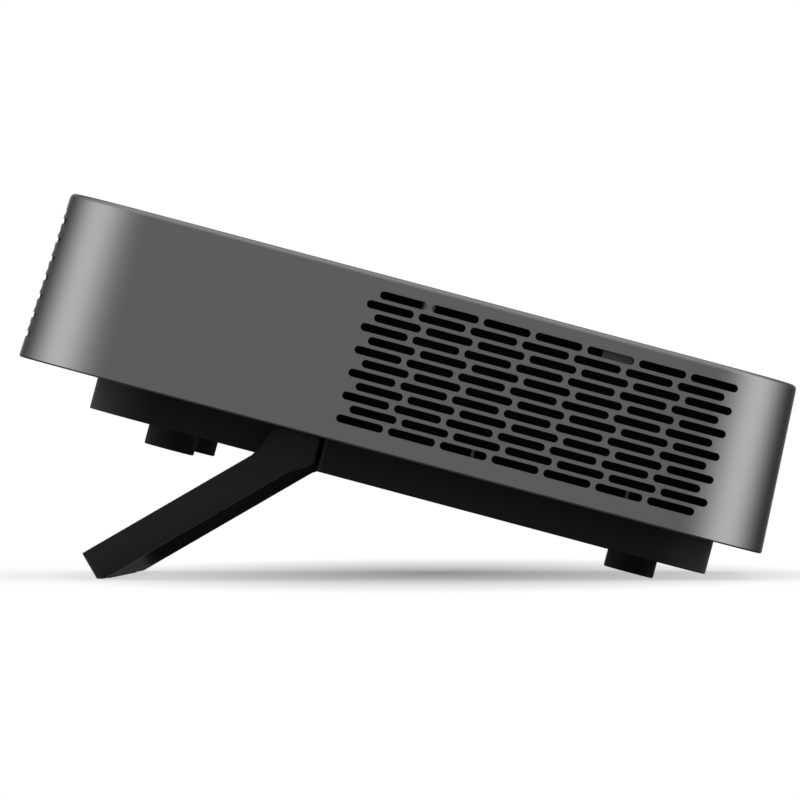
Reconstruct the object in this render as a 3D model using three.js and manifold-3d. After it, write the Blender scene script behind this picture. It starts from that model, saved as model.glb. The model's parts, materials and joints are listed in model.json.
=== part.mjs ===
// A portable LED projector, opened on its kick stand.
// The body's own frame is in millimetres: x runs from the lens end (negative) to the rear, y from the near
// side (negative) to the far side, and z up, with z = 0 at the lower edge of the metal band.
import * as THREE from "three";
import { mergeVertices } from "three/addons/utils/BufferGeometryUtils.js";
import Module from "manifold-3d";

const wasm = await Module();
wasm.setup();

// General values
const degree = Math.PI / 180;
const fitGap = 0.3; // left between pieces that touch
const cutOverrun = 1; // a cutter's run past the face that it opens
const roundSides = 16; // sides of a round piece
const keySides = 12; // sides of a key
const smallRoundSides = 8; // sides of a pin, post or screw
const cornerSteps = 7; // facets of a corner in plan

// The metal band: a square tube with a slight inward draft and large plan corners
const band = {
  width: 224,
  height: 50,
  wall: 2,
  draft: 3 * degree,
  cornerRadius: 28,
  edgeRound: 0.8,
  ledgeWidth: 2.5,
  ledgeThickness: 1.6,
};
const sideGrille = {
  columns: 7,
  rows: 12,
  slotLength: 14,
  slotWidth: 2.35,
  pitch: 15.44,
  rowPitch: 3.41,
  stagger: -3.07,
  rearInset: 19.16,
  topRow: 44.2,
  endFacets: 3,
};
const frontGrille = {
  rows: 14,
  slotLength: 14,
  slotWidth: 1.5,
  pitch: 15.44,
  rowPitch: 2.86,
  stagger: -4.5,
  sideInset: 23,
  panelMargin: 3,
  topRow: 44.2,
  endFacets: 2,
};

// Top cover and its keys
const cover = {
  thickness: 1.8,
  pillarRadius: 3.2,
  clipBossRadius: 2.6,
  clipBossLength: 6,
  clipBossInset: 14.4,
  clipTabInset: 70.8,
  clipTabWidth: 9,
  clipTabThickness: 1.4,
};
const keypad = {
  rearInset: 46,
  arrowSpacing: 13,
  sideKeySpacing: 34,
  keyRadius: 4.6,
  okRadius: 6,
  proud: 0.4,
  flangeWidth: 1,
  flangeThickness: 0.9,
  stemRadius: 1.6,
  stemLength: 1,
  travel: 0.5,
  boardLength: 88,
  boardWidth: 40,
  boardThickness: 1.2,
  hangerRadius: 2,
};

// Base: a tray whose plinth stands below the band, narrower in front so that the stand folds round it
const base = {
  flangeThickness: 2,
  plinthDepth: 10,
  frontPlinthDepth: 9.4,
  wall: 2,
  frontInset: 22.9,
  rearInset: 14.3,
  sideInset: 15.5,
  stepSetback: 6.1,
  cornerRadius: 20,
  stepRadius: 3,
  postRadius: 3,
};
const foot = {
  radius: 7.5,
  frontInset: 24.9,
  rearInset: 21.8,
  spacing: 116,
  depth: 15.4,
  chamfer: 0.5,
  studRadius: 2.5,
};
const tripod = {
  x: 34,
  threadRadius: 3.1,
  insertRadius: 5,
  insertLength: 8,
  bossWall: 2,
};
const screw = {
  frontInset: 27.1,
  frontSideInset: 7,
  rearInset: 11.7,
  rearSideInset: 16.5,
  headRadius: 2.7,
  headHeight: 1.6,
  shankRadius: 1,
  shankLength: 9,
  seatThickness: 2,
  seatWall: 1.6,
};

// Kick stand: a U-shaped frame on two pins
const stand = {
  frontGap: 0.9,
  sideGap: 0.5,
  pivotDepth: 4.8,
  reach: 69.6,
  height: 9.5,
  armThickness: 6,
  barThickness: 5.8,
  openAngle: 45 * degree,
  padLength: 120,
  tipRadius: 4,
  padDepth: 2.4,
  padFlatRise: 0.75,
  pinRadius: 1.8,
  pinEngagement: 4.2,
  pinBossLength: 5,
  pinBossWall: 1.6,
  rootSteps: 8,
};

// Lens end: a dark panel in the front wall with the lens window and a sensor window
const lensPanel = {
  width: 58,
  bottom: 7,
  top: 41,
  cornerRadius: 6,
  thickness: 3,
  lipWidth: 2.5,
  lipThickness: 1.6,
  windowRadius: 15,
  windowThickness: 1.5,
  windowSeat: 1.6,
  sensorInset: 6,
  sensorRadius: 3.2,
};
const lens = {
  sideInset: 61,
  offset: 1,
  z: 24,
  barrelRadius: 20,
  boreRadius: 17,
  frontInset: 13,
  flangeRadius: 23.5,
  flangeThickness: 3,
  cellLength: 13,
  cellInset: 3,
  cellBore: 13,
  cellSeatDepth: 4,
  cellSeatRadius: 15,
  glassThickness: 3.2,
  glassBulge: 2.4,
  rearGlassRadius: 14,
  rearGlassInset: 8,
  rearSeatBore: 12,
};
const focus = {
  toothModule: 0.8,
  ringTeeth: 60,
  pinionTeeth: 12,
  toothShare: 0.4, // tooth thickness at the pitch circle over the pitch
  tipShare: 0.6, // tooth thickness at the tip over that at the pitch circle
  addendumShare: 0.85,
  dedendumShare: 1.1,
  toothedArc: 80 * degree,
  ringInset: 23,
  faceWidth: 6,
  collarRadius: 21.6,
  collarThickness: 1.4,
  centreClearance: 0.1,
  motorRadius: 8,
  motorLength: 18,
  shaftRadius: 1.2,
  postWidth: 11,
};

// Light engine and its cooling
const engine = {
  frontInset: 58,
  length: 62,
  width: 64,
  bottom: -5,
  height: 45,
  wall: 3,
  lensHole: 13,
  ledWidth: 16,
  ledHeight: 22,
  ledThickness: 8,
  greenInset: 18,
  blueInset: 44,
  boardLength: 50,
  boardHeight: 34,
  boardThickness: 1.6,
};
const fan = {
  rearInset: 65,
  size: 40,
  depth: 10,
  boreRadius: 18.6,
  cornerRadius: 3,
  rotorRadius: 17.8,
  hubRadius: 8.5,
  hubDepth: 8,
  blades: 7,
  bladeThickness: 1.2,
  bladeWidth: 8,
  bladePitch: 38 * degree,
  strutWidth: 2,
  motorSeatRadius: 7,
  seatThickness: 1.2,
  ductGap: 46,
  ductWall: 1.5,
  ductDepth: 8,
  ductRibTop: 9.3,
};
// Dust screens: a plate behind each side grille, between the grille's bosses and the fan
const dustScreen = {
  frontMargin: 5.2,
  rearMargin: 3.16,
  sideInset: 13.6,
  thickness: 0.8,
};
const heatsink = {
  depth: 30,
  fins: 9,
  finThickness: 1.2,
  baseThickness: 5,
  endWall: 3,
};
const pipe = {
  radius: 3,
  bendRadius: 16,
  z: 18,
  sides: 6,
  steps: 13,
};

// Speakers, behind the front grille
const speaker = {
  sideInset: 16,
  motorGap: 30.1,
  gap: 4,
  height: 40,
  depth: 31,
  frontInset: 8.5,
  openingMargin: 4,
  openingDepth: 8,
  coneGap: 0.6,
  coneDepth: 5,
  coneThickness: 0.8,
  domeRadius: 5,
  domeHeight: 2,
};

// Rear board, its sockets and the port panel
const board = {
  engineGap: 23,
  rearInset: 9,
  nearInset: 58,
  farInset: 52,
  z: 6,
  thickness: 1.6,
};
const portPanel = {
  width: 118,
  bottom: 6,
  top: 30,
  cornerRadius: 5,
  lip: 3,
  thickness: 1.6,
  apertureMargin: 0.6,
};
const socketWall = 1;
const sockets = {
  hdmi_socket: { y: -36, width: 14.2, height: 4.7, depth: 10 },
  usb_a_socket: { y: -12, width: 12.6, height: 5.2, depth: 12 },
  usb_c_socket: { y: 8, width: 8.6, height: 2.8, depth: 7 },
  card_slot: { y: 26, width: 11.4, height: 1.2, depth: 12 },
};
const roundSockets = {
  audio_socket: { y: -49, boreRadius: 1.8, bodyWidth: 6.4, depth: 12, pinRadius: 0 },
  dc_inlet: { y: 48, boreRadius: 3.1, bodyWidth: 9.4, depth: 11, pinRadius: 0.9 },
};

// Places that follow from the sizes above
const bandHalf = band.width / 2;
const sideSlotsRear = bandHalf - sideGrille.rearInset;
const sideSlotsStart = sideSlotsRear - sideGrille.slotLength - (sideGrille.columns - 1) * sideGrille.pitch;
const clipBossX = sideSlotsStart + cover.clipBossInset;
const clipTabX = sideSlotsStart + cover.clipTabInset;
const keypadX = bandHalf - keypad.rearInset;
const baseFront = base.frontInset - bandHalf;
const baseRear = bandHalf - base.rearInset;
const rearWidth = band.width - 2 * base.sideInset;
const frontWidth = rearWidth - 2 * (stand.armThickness + stand.sideGap);
const standWidth = rearWidth;
const pivotX = baseFront - stand.frontGap - stand.barThickness + stand.reach;
const baseStep = pivotX + base.stepSetback;
const frontFootX = baseFront + foot.frontInset;
const rearFootX = baseRear - foot.rearInset;
const lensY = bandHalf - lens.sideInset;
const panelCentreY = lensY - lens.offset;
const sensorY = panelCentreY - lensPanel.width / 2 + lensPanel.sensorInset;
const frontSlotsStart = frontGrille.sideInset - bandHalf;
const frontSlotsSpan = panelCentreY - lensPanel.width / 2 - frontGrille.panelMargin - frontSlotsStart;
const frontColumns = Math.floor((frontSlotsSpan - frontGrille.slotLength) / frontGrille.pitch) + 1;
const barrelFront = lens.frontInset - bandHalf;
const engineFront = engine.frontInset - bandHalf;
const barrelRear = engineFront - fitGap;
const rearGlassX = engineFront - lens.rearGlassInset;
const gearRingX = barrelFront + focus.ringInset;
const engineNear = lensY - engine.width / 2;
const greenX = engineFront + engine.greenInset;
const blueX = engineFront + engine.blueInset;
const fanX = bandHalf - fan.rearInset;
const screenOffset = bandHalf - dustScreen.sideInset;
const speakerFront = speaker.frontInset - bandHalf;
const boardRear = bandHalf - board.rearInset;
const boardFront = engineFront + engine.length + board.engineGap;
const boardNear = board.nearInset - bandHalf;
const boardFar = bandHalf - board.farInset;

// Looks
const finish = (color, roughness, metalness) => ({ color, roughness, metalness });
const finishes = {
  brushedMetal: finish(0x5c5b5a, 0.38, 0.85),
  coverPlastic: finish(0x1b1b1c, 0.5, 0),
  basePlastic: finish(0x111112, 0.6, 0),
  standPlastic: finish(0x1a1a1b, 0.55, 0),
  rubber: finish(0x0c0c0c, 0.9, 0),
  gloss: finish(0x08080a, 0.12, 0),
  glass: finish(0x2a3040, 0.05, 0),
  steel: finish(0x9a9a9c, 0.35, 1),
  brass: finish(0xb08d4a, 0.35, 1),
  aluminium: finish(0xb8babd, 0.4, 1),
  copper: finish(0xb56b45, 0.35, 1),
  circuitBoard: finish(0x164a2e, 0.55, 0),
  whitePlastic: finish(0xcfcfcf, 0.5, 0),
  cone: finish(0x2b2b2e, 0.8, 0),
};

// Solids: every helper returns a solid in the frame of the group that carries it
const weldDistance = 1e-4;

function solidFrom(geometry) {
  const bare = geometry.clone();
  bare.deleteAttribute("normal");
  bare.deleteAttribute("uv");
  const merged = mergeVertices(bare, weldDistance);
  return new wasm.Manifold(
    new wasm.Mesh({
      numProp: 3,
      vertProperties: merged.attributes.position.array,
      triVerts: new Uint32Array(merged.index.array),
    }),
  );
}

function geometryFrom(solid) {
  const mesh = solid.getMesh();
  const positions = new Float32Array(mesh.numVert * 3);
  for (let i = 0; i < mesh.numVert; i += 1) {
    const first = i * mesh.numProp;
    positions.set(mesh.vertProperties.subarray(first, first + 3), i * 3);
  }
  const geometry = new THREE.BufferGeometry();
  geometry.setAttribute("position", new THREE.BufferAttribute(positions, 3));
  geometry.setIndex(new THREE.BufferAttribute(mesh.triVerts, 1));
  geometry.computeVertexNormals();
  return geometry;
}

const joined = (...solids) => solids.flat().reduce((whole, next) => whole.add(next));
const cut = (solid, ...cutters) => solid.subtract(joined(...cutters));

// A block between two values along each axis
function block([x0, x1], [y0, y1], [z0, z1]) {
  const geometry = new THREE.BoxGeometry(x1 - x0, y1 - y0, z1 - z0);
  geometry.translate((x0 + x1) / 2, (y0 + y1) / 2, (z0 + z1) / 2);
  return solidFrom(geometry);
}

// A span of a given size about a centre
const about = (centre, size) => [centre - size / 2, centre + size / 2];

// Turns that lay the local z axis along x, -x, y or -y
const turns = {
  "+x": new THREE.Matrix4().makeRotationY(90 * degree),
  "-x": new THREE.Matrix4().makeRotationY(-90 * degree),
  "+y": new THREE.Matrix4().makeRotationX(-90 * degree),
  "-y": new THREE.Matrix4().makeRotationX(90 * degree),
  "+z": new THREE.Matrix4(),
};

function laid(geometry, direction, [x, y, z]) {
  geometry.applyMatrix4(turns[direction]);
  geometry.translate(x, y, z);
  return solidFrom(geometry);
}

// A rod of round section that starts at a point and runs along a direction
function rod(radius, length, direction, start, sides = smallRoundSides) {
  const geometry = new THREE.CylinderGeometry(radius, radius, length, sides);
  geometry.rotateX(90 * degree);
  geometry.translate(0, 0, length / 2);
  return laid(geometry, direction, start);
}

// A turned piece: its profile is a list of [radius, height] from the axis to the axis, or a closed loop
function turned(profile, direction, start, sides = roundSides) {
  const points = profile.map(([radius, height]) => new THREE.Vector2(radius, height));
  const geometry = new THREE.LatheGeometry(points, sides);
  geometry.rotateX(90 * degree);
  return laid(geometry, direction, start);
}

// A closed loop of [radius, height] points, for rings
const loop = (profile) => [...profile, profile[0]];

// An outline drawn in plan and raised between two heights
function raised(points, [low, high]) {
  const shape = new THREE.Shape(points.map(([x, y]) => new THREE.Vector2(x, y)));
  const geometry = new THREE.ExtrudeGeometry(shape, {
    depth: high - low,
    bevelEnabled: false,
    steps: 1,
  });
  geometry.translate(0, 0, low);
  return solidFrom(geometry);
}

// The points of a rectangle with round corners, anticlockwise; the radii go from the +x +y corner round
function roundedRectangle([x0, x1], [y0, y1], radii, steps = cornerSteps) {
  const [a, b, c, d] = Array.isArray(radii) ? radii : [radii, radii, radii, radii];
  const corners = [
    [x1 - a, y1 - a, a, 0],
    [x0 + b, y1 - b, b, 1],
    [x0 + c, y0 + c, c, 2],
    [x1 - d, y0 + d, d, 3],
  ];
  return corners.flatMap(([x, y, radius, quarter]) => {
    if (radius <= 0) return [[x, y]];
    return Array.from({ length: steps + 1 }, (_, i) => {
      const angle = (quarter + i / steps) * 90 * degree;
      return [x + radius * Math.cos(angle), y + radius * Math.sin(angle)];
    });
  });
}

// A body between level rings of equal point counts; a looped one closes on itself as a tube wall does
function lofted(rings, looped) {
  const count = rings[0].points.length;
  const positions = rings.flatMap(({ points, z }) => points.flatMap(([x, y]) => [x, y, z]));
  const indices = [];
  const bands = looped ? rings.length : rings.length - 1;
  for (let i = 0; i < bands; i += 1) {
    const low = i * count;
    const high = ((i + 1) % rings.length) * count;
    for (let j = 0; j < count; j += 1) {
      const next = (j + 1) % count;
      indices.push(low + j, low + next, high + next);
      indices.push(low + j, high + next, high + j);
    }
  }
  if (!looped) {
    const last = (rings.length - 1) * count;
    for (let j = 1; j < count - 1; j += 1) {
      indices.push(0, j + 1, j);
      indices.push(last, last + j, last + j + 1);
    }
  }
  const geometry = new THREE.BufferGeometry();
  geometry.setAttribute("position", new THREE.Float32BufferAttribute(positions, 3));
  geometry.setIndex(indices);
  return solidFrom(geometry);
}

function mesh(name, solid, look) {
  const made = new THREE.Mesh(geometryFrom(solid), new THREE.MeshStandardMaterial(look));
  made.name = name;
  return made;
}

// Heights that several pieces share
const flangeBottom = fitGap;
const flangeTop = flangeBottom + base.flangeThickness;
const floorTop = base.wall - base.plinthDepth;
const undersideAt = (x) => (x < baseStep ? -base.frontPlinthDepth : -base.plinthDepth);
const coverBottom = band.height - cover.thickness;
const ledgeTop = coverBottom - fitGap;
const ledgeBottom = ledgeTop - band.ledgeThickness;

// How far the band's outer face leans in at a height, and where its inner face and ledge are
const leanAt = (z) => z * Math.tan(band.draft);
const outerHalfAt = (z) => bandHalf - leanAt(z);
const innerHalfAt = (z) => outerHalfAt(z) - band.wall;
const ledgeHalf = innerHalfAt(ledgeTop) - band.ledgeWidth;

function bandRing(z, inset) {
  const half = outerHalfAt(z) - inset;
  const radius = band.cornerRadius - leanAt(z) - inset;
  return { points: roundedRectangle([-half, half], [-half, half], radius), z };
}

// A slot with round ends of a few facets, its length along y and its width along x, raised along z
function slotCutter(length, width, depth, facets) {
  const reach = (length - width) / 2;
  const endAngles = Array.from({ length: facets + 1 }, (_, i) => (i * 180 * degree) / facets);
  const end = (side) =>
    endAngles.map((angle) => [
      (side * Math.cos(angle) * width) / 2,
      side * (reach + (Math.sin(angle) * width) / 2),
    ]);
  return raised([...end(1), ...end(-1)], [0, depth]);
}

// Slot centres of a grille: [place along the wall, height], each second row shifted
function grilleCentres(grille, start, columns) {
  return Array.from({ length: grille.rows }, (_, row) =>
    Array.from({ length: columns }, (_, column) => [
      start + (row % 2) * grille.stagger + column * grille.pitch + grille.slotLength / 2,
      grille.topRow - row * grille.rowPitch,
    ]),
  ).flat();
}

function turnedSolid(solid, matrix) {
  const geometry = geometryFrom(solid);
  geometry.applyMatrix4(matrix);
  return solidFrom(geometry);
}

const placed = (solid, [x, y, z]) => solid.translate([x, y, z]);

function makeBand() {
  const { wall, edgeRound, height } = band;
  const tube = lofted(
    [
      bandRing(0, 0),
      bandRing(height - edgeRound, 0),
      bandRing(height, edgeRound),
      bandRing(height, wall),
      bandRing(ledgeTop, wall),
      bandRing(ledgeTop, wall + band.ledgeWidth),
      bandRing(ledgeBottom, wall + band.ledgeWidth),
      bandRing(ledgeBottom - band.ledgeWidth, wall),
      bandRing(0, wall),
    ],
    true,
  );
  const span = band.width + 2 * cutOverrun;
  const alongX = new THREE.Matrix4().makeRotationZ(90 * degree);
  const sideSlot = turnedSolid(
    turnedSolid(slotCutter(sideGrille.slotLength, sideGrille.slotWidth, span, sideGrille.endFacets), alongX),
    turns["-y"],
  );
  const sideCentres = grilleCentres(sideGrille, sideSlotsStart, sideGrille.columns);
  const sideSlots = sideCentres.map(([x, z]) => placed(sideSlot, [x, span / 2, z]));
  const frontDepth = band.cornerRadius / 2;
  const frontSlot = turnedSolid(
    slotCutter(frontGrille.slotLength, frontGrille.slotWidth, frontDepth, frontGrille.endFacets),
    turns["+x"],
  );
  const frontCentres = grilleCentres(frontGrille, frontSlotsStart, frontColumns);
  const frontSlots = frontCentres.map(([y, z]) => placed(frontSlot, [-span / 2, y, z]));
  return cut(
    tube,
    sideSlots,
    frontSlots,
    wallOpening(lensPanel, panelCentreY, -1),
    wallOpening(portPanel, 0, 1),
  );
}

// A round-cornered opening through the front (side -1) or rear (side 1) wall
function wallOpening({ width, bottom, top, cornerRadius }, centreY, side) {
  const depth = band.cornerRadius / 2;
  const outline = roundedRectangle([-top, -bottom], about(centreY, width), cornerRadius);
  const cutter = turnedSolid(raised(outline, [0, depth]), turns["+x"]);
  const outside = bandHalf + cutOverrun;
  return placed(cutter, [side < 0 ? -outside : outside - depth, 0, 0]);
}

// Where the four case screws stand
const frontScrewX = baseFront + screw.frontInset;
const frontScrewY = frontWidth / 2 - screw.frontSideInset;
const rearScrewX = baseRear - screw.rearInset;
const rearScrewY = rearWidth / 2 - screw.rearSideInset;
const screwPlaces = {
  front_near: [frontScrewX, -frontScrewY],
  front_far: [frontScrewX, frontScrewY],
  rear_near: [rearScrewX, -rearScrewY],
  rear_far: [rearScrewX, rearScrewY],
};
const screwHeadTop = (x) => undersideAt(x) + fitGap + screw.headHeight;
const screwSeatTop = (x) => screwHeadTop(x) + fitGap + screw.seatThickness;

// Keys: power and back at the sides, four arrows round the OK key
const keyPlaces = {
  power_button: [keypadX, -keypad.sideKeySpacing, keypad.keyRadius],
  back_button: [keypadX, keypad.sideKeySpacing, keypad.keyRadius],
  up_button: [keypadX - keypad.arrowSpacing, 0, keypad.keyRadius],
  down_button: [keypadX + keypad.arrowSpacing, 0, keypad.keyRadius],
  left_button: [keypadX, -keypad.arrowSpacing, keypad.keyRadius],
  right_button: [keypadX, keypad.arrowSpacing, keypad.keyRadius],
  ok_button: [keypadX, 0, keypad.okRadius],
};
const keyFlangeTop = coverBottom - fitGap;
const keyStemEnd = keyFlangeTop - keypad.flangeThickness - keypad.stemLength;
const keyBoardTop = keyStemEnd - keypad.travel - fitGap;

function makeCover() {
  const inset = band.wall + fitGap;
  const plate = lofted([bandRing(coverBottom, inset), bandRing(band.height, inset)], false);
  const down = (radius, x, y, low) =>
    rod(radius, coverBottom + cover.thickness / 2 - low, "+z", [x, y, low]);
  const pillars = Object.values(screwPlaces).map(([x, y]) =>
    down(cover.pillarRadius, x, y, screwSeatTop(x) + fitGap),
  );
  const pilots = Object.values(screwPlaces).map(([x, y]) =>
    rod(screw.shankRadius + fitGap, screw.shankLength, "+z", [x, y, screwSeatTop(x)]),
  );
  const hangers = [-1, 1].flatMap((sideX) =>
    [-1, 1].map((sideY) =>
      down(
        keypad.hangerRadius,
        keypadX + sideX * (keypad.boardWidth / 2 - 2 * keypad.hangerRadius),
        sideY * (keypad.boardLength / 4),
        keyBoardTop + fitGap,
      ),
    ),
  );
  const bossY = ledgeHalf - fitGap - cover.clipBossRadius;
  const bosses = [-1, 1].map((side) =>
    down(cover.clipBossRadius, clipBossX, side * bossY, coverBottom - cover.clipBossLength),
  );
  const tabY = ledgeHalf - fitGap - cover.clipTabThickness / 2;
  const tabs = [-1, 1].map((side) =>
    block(
      about(clipTabX, cover.clipTabWidth),
      about(side * tabY, cover.clipTabThickness),
      [flangeTop + fitGap + fan.size + fitGap, coverBottom + cover.thickness / 2],
    ),
  );
  const holes = Object.values(keyPlaces).map(([x, y, radius]) =>
    rod(radius + fitGap, band.height, "+z", [x, y, coverBottom - cutOverrun], keySides),
  );
  return cut(joined(plate, pillars, hangers, bosses, tabs), pilots, holes);
}

function makeKey([x, y, radius]) {
  const flangeLow = keyFlangeTop - keypad.flangeThickness;
  return joined(
    rod(radius, band.height + keypad.proud - flangeLow, "+z", [x, y, flangeLow], keySides),
    rod(radius + keypad.flangeWidth, keypad.flangeThickness, "+z", [x, y, flangeLow], keySides),
    rod(keypad.stemRadius, keyFlangeTop - keyStemEnd, "+z", [x, y, keyStemEnd]),
  );
}

function makeKeyBoard() {
  return block(about(keypadX, keypad.boardWidth), about(0, keypad.boardLength), [
    keyBoardTop - keypad.boardThickness,
    keyBoardTop,
  ]);
}

// Base
const feet = {
  foot_front_near: [frontFootX, -foot.spacing / 2],
  foot_front_far: [frontFootX, foot.spacing / 2],
  foot_rear_near: [rearFootX, -foot.spacing / 2],
  foot_rear_far: [rearFootX, foot.spacing / 2],
};
const pinAxisZ = -stand.pivotDepth;
const pinBossRadius = stand.pinRadius + fitGap + stand.pinBossWall;
const pinBossInner = frontWidth / 2 - base.wall - stand.pinBossLength;

// Focus motor axis, beside the lens
const pitchRadius = (teeth) => (focus.toothModule * teeth) / 2;
const motorY = lensY - pitchRadius(focus.ringTeeth + focus.pinionTeeth) - focus.centreClearance;
const speakerRoom = [speaker.sideInset - bandHalf, motorY - speaker.motorGap];
const speakerWidth = (speakerRoom[1] - speakerRoom[0] - speaker.gap) / 2;
const speakerY = [speakerRoom[0] + speakerWidth / 2, speakerRoom[1] - speakerWidth / 2];
const speakerOpening = Math.min(speakerWidth, speaker.height) / 2 - speaker.openingMargin;
const motorRear = gearRingX - fitGap - focus.collarThickness;

// Posts that stand on the tray's floor: [x, y, top]
function corners([x0, x1], [y0, y1], top, inset) {
  return [x0 + inset, x1 - inset].flatMap((x) => [y0 + inset, y1 - inset].map((y) => [x, y, top]));
}
const engineX = [engineFront, engineFront + engine.length];
const engineY = [engineNear, engineNear + engine.width];
const boardX = [boardFront, boardRear];
const boardY = [boardNear, boardFar];
const fanZ = [flangeTop + fitGap, flangeTop + fitGap + fan.size];
const screenY = [screenOffset - dustScreen.thickness, screenOffset];
const fanOuterY = screenY[0] - fitGap;
const fanInnerY = fanOuterY - fan.depth;
const sinkX = about(fanX, fan.size);
const sinkY = [fitGap - fanInnerY, fitGap - fanInnerY + heatsink.depth];

function makeBase() {
  const inset = band.wall + fitGap;
  const flange = lofted([bandRing(flangeBottom, inset), bandRing(flangeTop, inset)], false);
  const { wall, cornerRadius, stepRadius } = base;
  const [front, step, rear] = [baseFront, baseStep, baseRear];
  const rearRadii = [cornerRadius, stepRadius, stepRadius, cornerRadius];
  const frontRadii = [0, cornerRadius, cornerRadius, 0];
  const inner = (radii) => radii.map((radius) => Math.max(radius - wall, 0));
  const overlap = wall + stepRadius;
  const rearBlock = raised(
    roundedRectangle([step, rear], about(0, rearWidth), rearRadii),
    [-base.plinthDepth, flangeTop],
  );
  const frontBlock = raised(
    roundedRectangle([front, step + overlap], about(0, frontWidth), frontRadii),
    [-base.frontPlinthDepth, flangeTop],
  );
  const pitZ = [floorTop, flangeTop + cutOverrun];
  const rearPit = raised(
    roundedRectangle([step + wall, rear - wall], about(0, rearWidth - 2 * wall), inner(rearRadii)),
    pitZ,
  );
  const frontPit = raised(
    roundedRectangle([front + wall, step + overlap], about(0, frontWidth - 2 * wall), inner(frontRadii)),
    pitZ,
  );
  const posts = [
    ...corners(engineX, engineY, engine.bottom - fitGap, 2 * base.postRadius),
    ...corners(boardX, boardY, board.z - fitGap, 3 * base.postRadius),
    ...corners(sinkX, sinkY, flangeTop, 2 * base.postRadius),
  ].map(([x, y, top]) =>
    rod(base.postRadius, top - floorTop + wall / 2, "+z", [x, y, floorTop - wall / 2]),
  );
  const motorPost = block(
    [motorRear - focus.motorLength / 2, motorRear - fitGap],
    about(motorY, focus.postWidth),
    [floorTop - wall / 2, lens.z - focus.motorRadius - fitGap],
  );
  const screwSeats = Object.values(screwPlaces).map(([x, y]) =>
    rod(screw.headRadius + fitGap + screw.seatWall, screwSeatTop(x) - undersideAt(x), "+z", [
      x,
      y,
      undersideAt(x),
    ]),
  );
  const tripodBoss = rod(
    tripod.insertRadius + fitGap + tripod.bossWall,
    tripod.insertLength + fitGap + tripod.bossWall,
    "+z",
    [tripod.x, 0, -base.plinthDepth],
  );
  const pinBosses = [-1, 1].map((side) =>
    rod(pinBossRadius, frontWidth / 2 - pinBossInner, side < 0 ? "-y" : "+y", [
      pivotX,
      side * pinBossInner,
      pinAxisZ,
    ]),
  );
  const ribs = [-1, 1].flatMap((sideX) =>
    [-1, 1].map((sideY) =>
      block(
        about(fanX + (sideX * fan.ductGap) / 2, fan.ductWall),
        about(sideY * (screenY[1] + fitGap + fan.ductDepth / 2), fan.ductDepth),
        [flangeBottom, fan.ductRibTop],
      ),
    ),
  );
  const tray = cut(joined(flange, rearBlock, frontBlock), rearPit, frontPit);
  const fitted = joined(tray, posts, motorPost, screwSeats, tripodBoss, pinBosses, ribs);
  const screwHoles = Object.values(screwPlaces).flatMap(([x, y]) => [
    rod(screw.headRadius + fitGap, screwHeadTop(x) + fitGap - undersideAt(x) + cutOverrun, "+z", [
      x,
      y,
      undersideAt(x) - cutOverrun,
    ]),
    rod(screw.shankRadius + fitGap, screw.shankLength, "+z", [x, y, undersideAt(x)]),
  ]);
  const tripodHole = rod(
    tripod.insertRadius + fitGap,
    tripod.insertLength + fitGap + cutOverrun,
    "+z",
    [tripod.x, 0, -base.plinthDepth - cutOverrun],
    roundSides,
  );
  const pinHoles = [-1, 1].map((side) =>
    rod(stand.pinRadius + fitGap, stand.pinBossLength + base.wall + 2 * cutOverrun, side < 0 ? "-y" : "+y", [
      pivotX,
      side * (pinBossInner - cutOverrun),
      pinAxisZ,
    ]),
  );
  const studHoles = Object.values(feet).map(([x, y]) =>
    rod(foot.studRadius + fitGap, base.wall + 2 * cutOverrun, "+z", [x, y, undersideAt(x) - cutOverrun]),
  );
  return cut(fitted, screwHoles, tripodHole, pinHoles, studHoles);
}

function makeFoot([x, y]) {
  const low = -foot.depth;
  const top = undersideAt(x) - fitGap;
  const studTop = floorTop;
  return turned(
    [
      [0, low],
      [foot.radius - foot.chamfer, low],
      [foot.radius, low + foot.chamfer],
      [foot.radius, top],
      [foot.studRadius, top],
      [foot.studRadius, studTop],
      [0, studTop],
    ],
    "+z",
    [x, y, 0],
  );
}

function makeTripodInsert() {
  const { threadRadius, insertRadius, insertLength } = tripod;
  return turned(
    loop([
      [threadRadius, 0],
      [insertRadius, 0],
      [insertRadius, insertLength],
      [threadRadius, insertLength],
    ]),
    "+z",
    [tripod.x, 0, -base.plinthDepth],
  );
}

function makeScrew([x, y]) {
  const low = undersideAt(x) + fitGap;
  return joined(
    rod(screw.headRadius, screw.headHeight, "+z", [x, y, low]),
    rod(screw.shankRadius, screw.shankLength, "+z", [x, y, low]),
  );
}

// Kick stand, drawn closed about its pivot: the arms run forward and the bar joins them in front
const standHalfHeight = stand.height / 2;
const standInnerHalf = standWidth / 2 - stand.armThickness;
const closedReach = (x, z) => {
  const angle = -stand.openAngle;
  return [
    pivotX + x * Math.cos(angle) + z * Math.sin(angle),
    -stand.pivotDepth - x * Math.sin(angle) + z * Math.cos(angle),
  ];
};
// The body's tilt at rest, from the line through the pad's front edge and the rear feet's rear edge
const [padX, padZ] = closedReach(-stand.reach, stand.padFlatRise - standHalfHeight);
const rearEdgeX = rearFootX + foot.radius - foot.chamfer;
const tilt = Math.atan2(-foot.depth - padZ, rearEdgeX - padX);
const floorDrop = rearEdgeX * Math.sin(tilt) + foot.depth * Math.cos(tilt);

// A prism across the width whose section is drawn in [x, z]
function sectionAcross(points, width) {
  const outline = points.map(([x, z]) => [x, z]);
  return placed(turnedSolid(raised(outline, [0, width]), turns["-y"]), [0, width / 2, 0]);
}

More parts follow.
